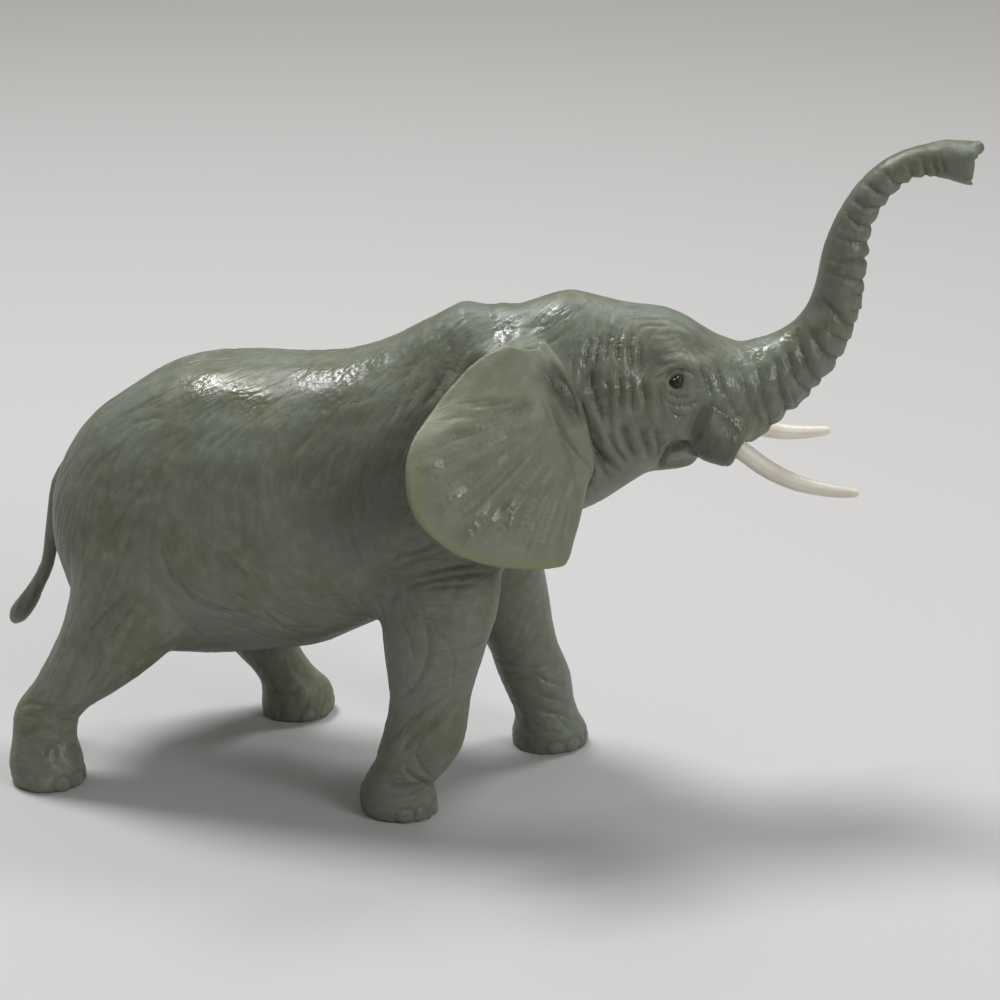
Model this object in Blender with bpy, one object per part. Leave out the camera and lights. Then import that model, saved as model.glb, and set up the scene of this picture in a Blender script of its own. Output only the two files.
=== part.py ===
"""Toy elephant in soft PVC, walking with its trunk raised.

The figure is glued up from moulded pieces: two hollow body halves, a head with
its trunk, two ears, two tusks, two eyes and a tail. +X runs from tail to head,
+Y to the animal's left and +Z up. Lengths are in metres.
"""
import math

import bmesh
import bpy
import numpy as np
from mathutils import Matrix, Vector

# Torso, measured from the turning axis of the neck, which stands at x = 0
TORSO_LENGTH = 0.1030
CHEST_REACH = 0.0110
BACK_HEIGHT = 0.0892
BODY_WIDTH = 0.0490

# Legs
LEG_LENGTH = 0.0520
FRONT_TRACK = 0.0376
HIND_TRACK = 0.0436
FRONT_LEG_WIDTH = 0.0170
HIND_LEG_WIDTH = 0.0170

# Head, in a frame of its own that is turned to the animal's left; its crown
# rises over the back
HEAD_TURN = math.radians(15)
HEAD_LENGTH = 0.0650
NECK_OVERLAP = 0.0120
CROWN_RISE = 0.0153
HEAD_WIDTH = 0.0310
JAW_WIDTH = 0.0160
JAW_DEPTH = 0.0110
SHEATH_WIDTH = 0.0110
BROW_LENGTH = 0.0130
BROW_DEPTH = 0.0054

CROWN_HEIGHT = BACK_HEIGHT + CROWN_RISE

# Trunk
TRUNK_LENGTH = 0.0715
TRUNK_WIDTH = 0.0214
RIB_PITCH = 0.0027
RIB_DEPTH = 0.0006
FINGER_REACH = 0.0032
LIP_REACH = 0.0018
FINGER_DROOP = 0.0014
NOSTRIL_WIDTH = 0.0030
NOSTRIL_SEPTUM = 0.0010
NOSTRIL_DEPTH = 0.0050

# Ears
EAR_LENGTH = 0.0330
EAR_HEIGHT = 0.0440
EAR_STANDOFF = 0.0065
EAR_THICKNESS = 0.0017
EAR_CUP = 0.0015
EAR_TAB_DEPTH = 0.0040

# Tusks and eyes
RIGHT_TUSK_LENGTH = 0.0250
LEFT_TUSK_LENGTH = 0.0236
RIGHT_TUSK_DROP = 0.0092
LEFT_TUSK_DROP = 0.0070
TUSK_SPLAY = 0.0054
TUSK_WIDTH = 0.0039
TUSK_ROOT_DEPTH = 0.0025
EYE_DIAMETER = 0.0027

# Tail
TAIL_DROP = 0.0360
TAIL_REACH = 0.0135
TAIL_WIDTH = 0.0044
TAIL_PEG_WIDTH = 0.0026
TAIL_PEG_LENGTH = 0.0060

# How the pieces are hollowed and held together
WALL = 0.0035
FIT_CLEARANCE = 0.0003
SEAM_TILT = math.radians(17)
SEAM_REACH = -0.0020
SPIGOT_WIDTH = 0.0160
SPIGOT_LENGTH = 0.0080
POST_WIDTH = 0.0064
PIN_WIDTH = 0.0030
PIN_LENGTH = 0.0040

# Smoothness of the moulded skin
SKIN_VOXEL = 0.0010
SKIN_SOFTENING = 12
EAR_VOXEL = 0.00045
EAR_SOFTENING = 3
EAR_FACET_SHARE = 0.016
BODY_FACET_SHARE = 0.052
HEAD_FACET_SHARE = 0.100
CREASE_ANGLE = math.radians(40)

# Torso: place from rump to chest, top, underside, half width, and how far the
# section narrows towards the back
TORSO_SHARES = (
    (0.000, 0.630, 0.520, 0.200, 0.00),
    (0.018, 0.715, 0.450, 0.450, 0.02),
    (0.050, 0.778, 0.375, 0.620, 0.04),
    (0.085, 0.826, 0.325, 0.730, 0.05),
    (0.130, 0.870, 0.300, 0.820, 0.06),
    (0.210, 0.934, 0.269, 0.930, 0.07),
    (0.290, 0.968, 0.276, 0.980, 0.08),
    (0.375, 0.983, 0.285, 1.000, 0.09),
    (0.535, 0.996, 0.322, 1.000, 0.10),
    (0.610, 1.012, 0.358, 0.980, 0.14),
    (0.690, 1.049, 0.410, 0.940, 0.24),
    (0.768, 1.105, 0.460, 0.878, 0.35),
    (0.845, 1.154, 0.500, 0.796, 0.42),
    (0.905, 1.132, 0.527, 0.694, 0.38),
    (0.962, 1.010, 0.583, 0.530, 0.24),
    (1.000, 0.875, 0.673, 0.245, 0.05),
)
HOLLOW_SHARES = TORSO_SHARES[2:11]
TORSO_FULLNESS_SHARE = 0.80

# Legs, from inside the torso down past the ground: height, and for each leg
# its axis along the torso, out to the side, and its half depth and half width
LEG_HEIGHT_SHARES = (1.28, 1.00, 0.83, 0.69, 0.54, 0.42, 0.30, 0.19, 0.12, 0.05, -0.04)
FRONT_SIDE_SHARES = (0.50, 0.68, 0.80, 0.90, 0.96, 0.98, 0.99, 1.00, 1.00, 1.00, 1.00)
HIND_SIDE_SHARES = (0.44, 0.58, 0.69, 0.78, 0.83, 0.89, 0.94, 0.97, 1.00, 1.00, 1.00)
FRONT_DEPTH_SHARES = (1.20, 1.50, 1.44, 1.24, 1.01, 0.98, 1.03, 0.92, 0.84, 0.97, 0.92)
HIND_DEPTH_SHARES = (1.50, 1.86, 1.76, 1.64, 1.36, 1.16, 0.86, 0.77, 0.88, 0.92, 0.90)
FRONT_WIDTH_SHARES = (0.70, 0.98, 1.00, 0.94, 0.89, 0.87, 0.86, 0.82, 0.81, 0.89, 0.87)
HIND_WIDTH_SHARES = (0.80, 1.18, 1.18, 1.08, 0.98, 0.88, 0.80, 0.76, 0.85, 0.90, 0.87)
LEG_PLACE_SHARES = {
    "right_front": (0.81, 0.807, 0.811, 0.807, 0.804, 0.799, 0.788, 0.762, 0.738, 0.736, 0.743),
    "left_front": (0.79, 0.806, 0.832, 0.858, 0.881, 0.899, 0.920, 0.936, 0.954, 0.962, 0.957),
    "right_hind": (0.25, 0.228, 0.216, 0.196, 0.146, 0.094, 0.027, 0.018, 0.020, 0.022, 0.024),
    "left_hind": (0.25, 0.228, 0.230, 0.252, 0.285, 0.316, 0.348, 0.386, 0.410, 0.415, 0.410),
}

# Head: place from neck to trunk, top, underside, half width, narrowing
HEAD_SHARES = (
    (0.000, 0.928, 0.478, 0.840, 0.20),
    (0.108, 0.947, 0.478, 0.968, 0.20),
    (0.215, 0.967, 0.498, 1.000, 0.15),
    (0.308, 0.984, 0.528, 1.000, 0.12),
    (0.400, 1.000, 0.559, 0.987, 0.12),
    (0.492, 0.987, 0.585, 0.955, 0.12),
    (0.585, 0.972, 0.624, 0.923, 0.10),
    (0.677, 0.966, 0.661, 0.877, 0.08),
    (0.754, 0.946, 0.674, 0.813, 0.06),
    (0.823, 0.917, 0.682, 0.742, 0.03),
    (0.892, 0.897, 0.696, 0.684, 0.00),
    (0.954, 0.882, 0.718, 0.600, 0.00),
    (1.000, 0.850, 0.760, 0.380, 0.00),
)

# Lower jaw: place along the head, height, half width and half depth of the jaw
JAW_SHARES = (
    (0.460, 0.663, 0.90, 1.00),
    (0.600, 0.683, 0.80, 0.80),
    (0.730, 0.669, 0.54, 0.44),
    (0.800, 0.664, 0.28, 0.22),
)

# Tusk sheath: place along the head, height, distance out, and half width
SHEATH_SHARES = (
    (0.660, 0.782, 0.38, 1.12),
    (0.770, 0.760, 0.48, 1.10),
    (0.858, 0.7315, 0.56, 1.00),
    (0.914, 0.710, 0.61, 0.82),
)
BROW_SHARES = (0.700, 0.880, 0.65)
EYE_SHARES = (0.712, 0.858, 0.800)

# Trunk: distance along it, heading above the horizontal in degrees, half width
TRUNK_ROOT_SHARES = (0.898, 0.791)
TRUNK_SHARES = (
    (0.000, 20.0, 0.978),
    (0.194, 39.0, 0.672),
    (0.350, 67.6, 0.516),
    (0.477, 84.0, 0.450),
    (0.564, 79.0, 0.415),
    (0.658, 63.8, 0.358),
    (0.773, 41.0, 0.326),
    (0.846, 21.0, 0.316),
    (0.912, 6.0, 0.344),
    (1.000, -6.0, 0.458),
)
RIBBED_SHARES = (0.12, 0.88)
TIP_SHARES = (0.05, 0.50, 1.00)

# Ear: distance behind the neck's axis, height below the crown and distance out
# from the head's middle, for the root and then round the rim, top to bottom
EAR_ROOT_SHARES = (
    (-0.250, 0.195, 0.68),
    (-0.340, 0.270, 0.84),
    (-0.420, 0.390, 0.94),
    (-0.490, 0.570, 0.95),
    (-0.515, 0.720, 0.88),
    (-0.455, 0.860, 0.74),
)
EAR_RIM_SHARES = (
    (-0.045, 0.165, 0.37),
    (0.045, 0.195, 0.40),
    (0.195, 0.262, 0.46),
    (0.370, 0.390, 0.60),
    (0.485, 0.480, 0.75),
    (0.545, 0.555, 0.87),
    (0.550, 0.675, 0.97),
    (0.510, 0.780, 1.00),
    (0.420, 0.875, 1.01),
    (0.260, 0.975, 1.00),
    (0.025, 1.045, 0.95),
    (-0.210, 1.080, 0.87),
    (-0.355, 1.095, 0.77),
    (-0.380, 1.045, 0.69),
    (-0.372, 0.970, 0.56),
    (-0.375, 0.895, 0.44),
)

# Tusk: distance along, drop and splay, and half width; the first row is inside
TUSK_ROOT_SHARES = (0.875, 0.732, 0.63)
TUSK_SHARES = (
    (0.000, 0.000, 0.000, 1.00),
    (0.190, 0.390, 0.160, 0.98),
    (0.330, 0.640, 0.280, 0.95),
    (0.540, 0.880, 0.490, 0.84),
    (0.770, 0.985, 0.740, 0.69),
    (0.940, 1.000, 0.940, 0.53),
    (1.000, 1.000, 1.000, 0.30),
)

# Tail: distance down, distance back, and half width
TAIL_ROOT_SHARES = (0.022, 0.680)
TAIL_SHARES = (
    (0.00, 0.00, 1.00),
    (0.11, 0.18, 0.95),
    (0.27, 0.29, 0.80),
    (0.45, 0.385, 0.70),
    (0.61, 0.475, 0.64),
    (0.76, 0.67, 0.76),
    (0.86, 0.835, 0.93),
    (0.95, 1.01, 0.93),
    (1.00, 1.10, 0.40),
)

# Locating posts: place along the torso and height; the neck spigot: its drop
# from the crown along the seam
POST_SHARES = ((0.22, 0.62), (0.46, 0.46), (0.62, 0.80))
SPIGOT_DROP_SHARE = 0.24

COLOURS = {
    "pvc": (0.142, 0.162, 0.127),
    "ivory": (0.604, 0.565, 0.468),
    "paint": (0.014, 0.013, 0.010),
}
ROUGHNESS = {"pvc": 0.42, "ivory": 0.38, "paint": 0.12}

RING_POINTS = 24
FINE_RING_POINTS = 14
SMALL_RING_POINTS = 10
HOLLOW_POINTS = 16
STEPS_PER_ROW = 4


def clear_scene():
    """Empty the scene that the script is run in."""
    for item in list(bpy.data.objects):
        bpy.data.objects.remove(item)


def new_frame(name, parent=None, turn=0.0):
    """Add an empty that carries pieces."""
    frame = bpy.data.objects.new(name, None)
    bpy.context.scene.collection.objects.link(frame)
    frame.parent = parent
    frame.rotation_euler.z = turn
    return frame


def new_object(name, bm, frame, place=None):
    """Turn a bmesh into an object that a frame carries, at a place in it."""
    bmesh.ops.recalc_face_normals(bm, faces=bm.faces)
    if bm.calc_volume(signed=True) < 0:
        bmesh.ops.reverse_faces(bm, faces=bm.faces)
    mesh = bpy.data.meshes.new(name)
    bm.to_mesh(mesh)
    bm.free()
    mesh.shade_smooth()
    mesh.set_sharp_from_angle(angle=CREASE_ANGLE)
    made = bpy.data.objects.new(name, mesh)
    bpy.context.scene.collection.objects.link(made)
    made.parent = frame
    made.location = place or Vector()
    return made


def hide(item):
    """Mark an object as a cutter or a guide."""
    item.hide_render = True
    item.display_type = "WIRE"
    return item


def paint(item, finish):
    """Give a piece a material of its own in one of the figure's finishes."""
    made = bpy.data.materials.new(f"{item.name}_{finish}")
    made.use_nodes = True
    shader = made.node_tree.nodes["Principled BSDF"]
    shader.inputs["Base Color"].default_value = (*COLOURS[finish], 1)
    shader.inputs["Roughness"].default_value = ROUGHNESS[finish]
    shader.inputs["Metallic"].default_value = 0
    item.data.materials.append(made)


def soft_skin(item, voxel, softening, facet_share):
    """Melt the overlapping forms of an object into one smooth skin."""
    remesh = item.modifiers.new("one skin", "REMESH")
    remesh.mode = "VOXEL"
    remesh.voxel_size = voxel
    remesh.use_smooth_shade = True
    soften = item.modifiers.new("soft folds", "SMOOTH")
    soften.factor = 0.5
    soften.iterations = softening
    thin = item.modifiers.new("fewer facets", "DECIMATE")
    thin.ratio = facet_share


def combine(item, operand, operation):
    """Join, cut or intersect an object with another."""
    modifier = item.modifiers.new(operand.name, "BOOLEAN")
    modifier.operation = operation
    modifier.solver = "EXACT"
    modifier.object = operand


def smooth_rows(rows, steps=STEPS_PER_ROW):
    """Join rows of numbers by a smooth curve through each of them."""
    rows = np.array(rows, float)
    padded = np.vstack((2 * rows[0] - rows[1], rows, 2 * rows[-1] - rows[-2]))
    curve = []
    for i in range(1, len(padded) - 2):
        before, start, end, after = padded[i - 1 : i + 3]
        for t in np.arange(steps) / steps:
            curve.append(
                start
                + t * (end - before) / 2
                + t**2 * (before - 2.5 * start + 2 * end - after / 2)
                + t**3 * (1.5 * (start - end) + (after - before) / 2)
            )
    curve.append(rows[-1])
    return np.array(curve)


def read_rows(rows, share):
    """Read one place on evenly spaced rows, from 0 at the first to 1 at the last."""
    return [np.interp(share * (len(rows) - 1), range(len(rows)), column) for column in rows.T]


def ring(bm, points, fullness, centre, side, up, narrowing=0.0):
    """Add one closed section whose half axes are the vectors side and up."""
    axes = Matrix((side, up, side.cross(up))).transposed().to_4x4()
    placed = Matrix.Translation(centre) @ axes
    circle = bmesh.ops.create_circle(bm, segments=points, radius=1)["verts"]
    for vertex in circle:
        vertex.co.x = math.copysign(abs(vertex.co.x) ** fullness, vertex.co.x)
        vertex.co.x *= 1 - narrowing * vertex.co.y
        vertex.co = placed @ vertex.co
    return circle


def loft(bm, sections, matrix=Matrix(), points=RING_POINTS, fullness=1.0):
    """Skin a closed body over sections of centre, side, up and any narrowing."""
    rings = [ring(bm, points, fullness, *section) for section in sections]
    for circle in rings:
        bmesh.ops.transform(bm, matrix=matrix, verts=circle)
    for first, second in zip(rings, rings[1:]):
        for i in range(points):
            j = (i + 1) % points
            bm.faces.new((first[i], first[j], second[j], second[i]))
    bm.faces.new(rings[0])
    bm.faces.new(rings[-1])
    return rings


def path_sections(places, radii):
    """Round sections square to a path that keeps near an upright plane."""
    sections = []
    for i, place in enumerate(places):
        ahead = places[min(i + 1, len(places) - 1)]
        behind = places[max(i - 1, 0)]
        along = (ahead - behind).normalized()
        side = Vector((0, -1, 0))
        side = (side - along * side.dot(along)).normalized()
        sections.append((place, side * radii[i], side.cross(along) * radii[i]))
    return sections


def torso_point(along_share, height_share, side=0.0):
    """Place a point by its shares of the torso's length and height."""
    along = CHEST_REACH - TORSO_LENGTH * (1 - along_share)
    return Vector((along, side, BACK_HEIGHT * height_share))


def head_point(along_share, height_share, out_share=0.0):
    """Place a point by its shares of the head's length, height and half width."""
    along = HEAD_LENGTH * along_share - NECK_OVERLAP
    return Vector((along, HEAD_WIDTH / 2 * out_share, CROWN_HEIGHT * height_share))


def mirrored(place, left):
    """Take a point of the left side to the side asked for, 1 or -1."""
    return Vector((place.x, place.y * left, place.z))


def head_matrix():
    """The head frame as the figure's frame sees it."""
    return Matrix.Rotation(HEAD_TURN, 4, "Z")


def upright_sections(rows, point, half_width, inset=0.0):
    """Sections of a body given by its top, underside and half width."""
    sections = []
    for along, top, underside, width, narrowing in smooth_rows(rows):
        high = point(along, top)
        low = point(along, underside)
        side = Vector((0, half_width * width - inset, 0))
        up = (high - low) / 2 - Vector((0, 0, inset))
        if side.y > inset / 2 and up.z > inset / 2:
            sections.append(((high + low) / 2, side, up, narrowing))
    return sections


def leg_sections(name):
    """Level sections down one leg."""
    left = 1 if name.startswith("left") else -1
    front = name.endswith("front")
    track = FRONT_TRACK if front else HIND_TRACK
    leg_width = FRONT_LEG_WIDTH if front else HIND_LEG_WIDTH
    rows = zip(
        LEG_PLACE_SHARES[name],
        LEG_HEIGHT_SHARES,
        FRONT_SIDE_SHARES if front else HIND_SIDE_SHARES,
        FRONT_DEPTH_SHARES if front else HIND_DEPTH_SHARES,
        FRONT_WIDTH_SHARES if front else HIND_WIDTH_SHARES,
    )
    sections = []
    for along, height, out, depth, width in smooth_rows(list(rows)):
        centre = torso_point(along, 0.0, left * track / 2 * out)
        centre.z = LEG_LENGTH * height
        side = Vector((leg_width / 2 * depth, 0, 0))
        up = Vector((0, leg_width / 2 * width, 0))
        sections.append((centre, side, up))
    return sections


def jaw_sections():
    """Sections of the lower jaw, out to the lip."""
    sections = []
    for along, height, width, depth in smooth_rows(JAW_SHARES):
        side = Vector((0, JAW_WIDTH / 2 * width, 0))
        up = Vector((0, 0, JAW_DEPTH / 2 * depth))
        sections.append((head_point(along, height), side, up))
    return sections


def sheath_sections(left):
    """Sections of the swelling that a tusk comes out of."""
    rows = smooth_rows(SHEATH_SHARES)
    places = [head_point(along, height, left * out) for along, height, out, width in rows]
    return path_sections(places, [SHEATH_WIDTH / 2 * row[-1] for row in rows])


def add_brow(bm, left):
    """Add the ridge over an eye."""
    along, height, out = BROW_SHARES
    made = bmesh.ops.create_uvsphere(bm, u_segments=16, v_segments=10, radius=1)
    squash = Matrix.Diagonal((BROW_LENGTH / 2, BROW_DEPTH / 2, BROW_DEPTH / 2, 1))
    place = Matrix.Translation(head_point(along, height, left * out))
    bmesh.ops.transform(bm, matrix=head_matrix() @ place @ squash, verts=made["verts"])


def skin(name, facet_share, figure):
    """The moulded skin of the whole figure but its trunk, as one soft form."""
    bm = bmesh.new()
    torso = upright_sections(TORSO_SHARES, torso_point, BODY_WIDTH / 2)
    loft(bm, torso, fullness=TORSO_FULLNESS_SHARE)
    for leg in LEG_PLACE_SHARES:
        loft(bm, leg_sections(leg))
    loft(bm, upright_sections(HEAD_SHARES, head_point, HEAD_WIDTH / 2), head_matrix())
    loft(bm, jaw_sections(), head_matrix())
    for left in (1, -1):
        loft(bm, sheath_sections(left), head_matrix())
        add_brow(bm, left)
    made = new_object(name, bm, figure)
    soft_skin(made, SKIN_VOXEL, SKIN_SOFTENING, facet_share)
    return hide(made)


def trunk_path():
    """Shares along the trunk with its middle line, heading and half width."""
    curve = smooth_rows(TRUNK_SHARES)
    place = head_point(*TRUNK_ROOT_SHARES)
    path = [(*curve[0], *place)]
    for before, after in zip(curve, curve[1:]):
        heading = math.radians((before[1] + after[1]) / 2)
        step = TRUNK_LENGTH * (after[0] - before[0])
        place = place + Vector((math.cos(heading), 0, math.sin(heading))) * step
        path.append((*after, *place))
    return np.array(path)


def trunk_section(share):
    """Read the trunk at one share of its length: place, ahead, up, half width."""
    path = trunk_path()
    heading, width, *place = [np.interp(share, path[:, 0], column) for column in path.T[1:]]
    heading = math.radians(heading)
    ahead = Vector((math.cos(heading), 0, math.sin(heading)))
    up = Vector((-math.sin(heading), 0, math.cos(heading)))
    return Vector(place), ahead, up, width * TRUNK_WIDTH / 2


def trunk(name, head_frame):
    """The trunk, ribbed most on its underside, with a finger over its tip."""
    start, end = RIBBED_SHARES
    ribs = round(TRUNK_LENGTH * (end - start) / RIB_PITCH)
    pitch = (end - start) / ribs
    stations = [(0.0, False), (start / 2, False)]
    for rib in range(ribs):
        stations += [(start + rib * pitch, True), (start + (rib + 1 / 2) * pitch, False)]
    stations += [(end + (1 - end) * share, False) for share in TIP_SHARES]
    sections = []
    for share, grooved in stations:
        place, ahead, up, width = trunk_section(share)
        groove = RIB_DEPTH / 2 if grooved else 0.0
        width -= groove
        sections.append((place + up * groove, Vector((0, -width, 0)), up * width))
    bm = bmesh.new()
    rings = loft(bm, sections, points=FINE_RING_POINTS)
    place, ahead, up, width = trunk_section(1.0)
    for vertex in rings[-1]:
        rise = (vertex.co - place).dot(up) / width
        reach = FINGER_REACH if rise > 0 else LIP_REACH
        vertex.co += ahead * reach * rise**2
        if rise > 0:
            vertex.co -= up * FINGER_DROOP * rise**2
    return hide(new_object(name, bm, head_frame))


def nostrils(name, head_frame):
    """The two bores that run back from the trunk's tip."""
    place, ahead, up, width = trunk_section(1.0)
    rods = []
    for left in (1, -1):
        aside = Vector((0, left * (NOSTRIL_SEPTUM + NOSTRIL_WIDTH) / 2, 0))
        length = NOSTRIL_DEPTH + 2 * FINGER_REACH
        rods.append((place + aside - ahead * NOSTRIL_DEPTH, ahead, length, NOSTRIL_WIDTH))
    return rod_object(name, head_frame, rods)


def half_space(name, point, normal, frame):
    """A block whose one face lies at the point, square to the normal."""
    size = TORSO_LENGTH + TRUNK_LENGTH + HEAD_LENGTH
    bm = bmesh.new()
    bmesh.ops.create_cube(bm, size=size)
    bmesh.ops.translate(bm, verts=bm.verts, vec=(0, 0, size / 2))
    turn = Vector((0, 0, 1)).rotation_difference(normal).to_matrix().to_4x4()
    bmesh.ops.transform(bm, matrix=turn, verts=bm.verts)
    return new_object(name, bm, frame, point)


def rod_object(name, frame, rods):
    """A cutter or an addition made of round rods: start, direction, length, width."""
    bm = bmesh.new()
    for start, direction, length, width in rods:
        cone = {"radius1": width / 2, "radius2": width / 2, "depth": length}
        made = bmesh.ops.create_cone(bm, cap_ends=True, segments=FINE_RING_POINTS, **cone)
        turn = Vector((0, 0, 1)).rotation_difference(direction).to_matrix().to_4x4()
        lift = Matrix.Translation((0, 0, length / 2))
        matrix = Matrix.Translation(start) @ turn @ lift
        bmesh.ops.transform(bm, matrix=matrix, verts=made["verts"])
    return hide(new_object(name, bm, frame))


def seam():
    """The plane between head and body: a point and the way to the head."""
    tilted = Vector((math.cos(SEAM_TILT), 0, math.sin(SEAM_TILT)))
    point = Vector((SEAM_REACH, 0, CROWN_HEIGHT))
    return head_matrix() @ point, head_matrix() @ tilted


def spigot(name, figure, clearance=0.0):
    """The neck spigot through the seam, or the socket that it seats in."""
    point, normal = seam()
    down = normal.cross(Vector((0, 0, 1))).cross(normal).normalized()
    start = point - down * CROWN_HEIGHT * SPIGOT_DROP_SHARE - normal * SPIGOT_LENGTH
    rod = (start, normal, 2 * SPIGOT_LENGTH + clearance, SPIGOT_WIDTH + 2 * clearance)
    return rod_object(name, figure, [rod])


def add_ear_sheet(bm, left):
    """Add the ear's sheet, from the end of its root tab out to its rim."""
    root = smooth_rows(EAR_ROOT_SHARES)
    rim = smooth_rows(EAR_RIM_SHARES, 2)
    sheet = bmesh.ops.create_grid(bm, x_segments=8, y_segments=len(rim) - 1, size=1)
    for vertex in sheet["verts"]:
        flap = max(vertex.co.x, 0.0)
        tab = max(-vertex.co.x, 0.0)
        down_share = (vertex.co.y + 1) / 2
        behind, below, out = read_rows(root, down_share)
        rim_behind, rim_below, rim_out = read_rows(rim, down_share)
        side = HEAD_WIDTH / 2 * out * (1 - flap) - EAR_TAB_DEPTH * tab
        side += (BODY_WIDTH / 2 + EAR_STANDOFF) * rim_out * flap
        side += EAR_CUP * math.sin(math.pi * flap)
        behind += (rim_behind - behind) * flap
        below += (rim_below - below) * flap
        vertex.co = (-EAR_LENGTH * behind, left * side, CROWN_HEIGHT - EAR_HEIGHT * below)


def ear(name, left, head_frame, clearance=0.0):
    """An ear, a thin flared flap with a tab at its root, or the tab's slot."""
    bm = bmesh.new()
    add_ear_sheet(bm, left)
    made = new_object(name, bm, head_frame)
    wall = made.modifiers.new("thickness", "SOLIDIFY")
    wall.thickness = EAR_THICKNESS
    wall.offset = 0
    soft_skin(made, EAR_VOXEL, EAR_SOFTENING, EAR_FACET_SHARE)
    room = made.modifiers.new("clearance", "DISPLACE")
    room.mid_level = 0
    room.strength = clearance
    return made


def tusk(name, left, head_frame, clearance=0.0):
    """A tusk with its straight root, or the socket that it seats in."""
    length = LEFT_TUSK_LENGTH if left > 0 else RIGHT_TUSK_LENGTH
    fall = LEFT_TUSK_DROP if left > 0 else RIGHT_TUSK_DROP
    rows = smooth_rows(TUSK_SHARES, 2)
    places = [
        mirrored(Vector((length * forward, TUSK_SPLAY * out, -fall * drop)), left)
        for forward, drop, out, width in rows
    ]
    radii = [TUSK_WIDTH / 2 * row[-1] + clearance for row in rows]
    back = (places[0] - places[1]).normalized()
    places.insert(0, back * (TUSK_ROOT_DEPTH + clearance))
    radii.insert(0, radii[0])
    bm = bmesh.new()
    loft(bm, path_sections(places, radii), points=SMALL_RING_POINTS)
    return new_object(name, bm, head_frame, mirrored(head_point(*TUSK_ROOT_SHARES), left))


def eye(name, left, head_frame, clearance=0.0):
    """An eye bead, or the socket that it seats in."""
    radius = EYE_DIAMETER / 2 + clearance
    bm = bmesh.new()
    bmesh.ops.create_uvsphere(bm, u_segments=SMALL_RING_POINTS, v_segments=6, radius=radius)
    return new_object(name, bm, head_frame, mirrored(head_point(*EYE_SHARES), left))


def tail(name, figure, clearance=0.0):
    """The tail, tuft and peg in one, or the seat that takes its root."""
    rows = smooth_rows(TAIL_SHARES, 2)
    places = [Vector((-TAIL_REACH * back, 0, -TAIL_DROP * down)) for down, back, width in rows]
    radii = [TAIL_WIDTH / 2 * row[-1] + clearance for row in rows]
    bm = bmesh.new()
    loft(bm, path_sections(places, radii), points=SMALL_RING_POINTS)
    root = torso_point(*TAIL_ROOT_SHARES)
    made = new_object(name, bm, figure, root)
    start = root - Vector((TAIL_WIDTH / 4, 0, TAIL_WIDTH / 4))
    length = TAIL_WIDTH / 4 + TAIL_PEG_LENGTH + clearance
    rod = (start, Vector((1, 0, 0)), length, TAIL_PEG_WIDTH + 2 * clearance)
    combine(made, rod_object(name + "_peg", figure, [rod]), "UNION")
    return made


def posts(name, figure):
    """The posts that cross the hollow body."""
    rods = []
    for along, height in POST_SHARES:
        start = torso_point(along, height, -BODY_WIDTH)
        rods.append((start, Vector((0, 1, 0)), 2 * BODY_WIDTH, POST_WIDTH))
    return rod_object(name, figure, rods)


def pins(name, figure, clearance=0.0):
    """The pins on the left half's posts, or the sockets that take them."""
    rods = []
    for along, height in POST_SHARES:
        start = torso_point(along, height, PIN_LENGTH)
        length = 2 * PIN_LENGTH + clearance
        rods.append((start, Vector((0, -1, 0)), length, PIN_WIDTH + 2 * clearance))
    return rod_object(name, figure, rods)


def hollow(name, figure):
    """The space inside the body, with the posts left standing."""
    sections = upright_sections(HOLLOW_SHARES, torso_point, BODY_WIDTH / 2, WALL)
    bm = bmesh.new()
    loft(bm, sections[::2], points=HOLLOW_POINTS, fullness=TORSO_FULLNESS_SHARE)
    made = hide(new_object(name, bm, figure))
    combine(made, posts("locating_posts", figure), "DIFFERENCE")
    return made


def body_shell(name, figure):
    """Both body halves in one, hollow, with the neck spigot and the tail's seat."""
    shell = skin(name, BODY_FACET_SHARE, figure)
    point, normal = seam()
    behind = half_space("behind_seam", point - normal * FIT_CLEARANCE / 2, -normal, figure)
    combine(shell, hide(behind), "INTERSECT")
    combine(shell, spigot("neck_spigot", figure), "UNION")
    combine(shell, hollow("body_hollow", figure), "DIFFERENCE")
    combine(shell, hide(tail("tail_seat", figure, FIT_CLEARANCE)), "DIFFERENCE")
    return shell


def body_half(name, shell, left, figure):
    """One half of the body, standing on flat soles."""
    side = TORSO_LENGTH + HEAD_LENGTH
    bm = bmesh.new()
    bmesh.ops.create_cube(bm, size=2 * side)
    step = Vector((0, left * (side + FIT_CLEARANCE / 2), side))
    half = new_object(name, bm, figure, step)
    combine(half, shell, "INTERSECT")
    return half


def head_piece(name, figure, head_frame):
    """The head and its trunk, with a seat for each piece that it carries."""
    point, normal = seam()
    head = half_space(name, point + normal * FIT_CLEARANCE / 2, normal, figure)
    combine(head, skin("head_skin", HEAD_FACET_SHARE, figure), "INTERSECT")
    combine(head, trunk("trunk", head_frame), "UNION")
    seats = [
        nostrils("nostrils", head_frame),
        spigot("neck_socket", figure, FIT_CLEARANCE),
    ]
    for left, side in ((1, "left"), (-1, "right")):
        seats.append(ear(side + "_ear_slot", left, head_frame, FIT_CLEARANCE))
        seats.append(tusk(side + "_tusk_socket", left, head_frame, FIT_CLEARANCE))
        seats.append(eye(side + "_eye_socket", left, head_frame, FIT_CLEARANCE))
    for seat in seats:
        combine(head, hide(seat), "DIFFERENCE")
    return head


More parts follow.
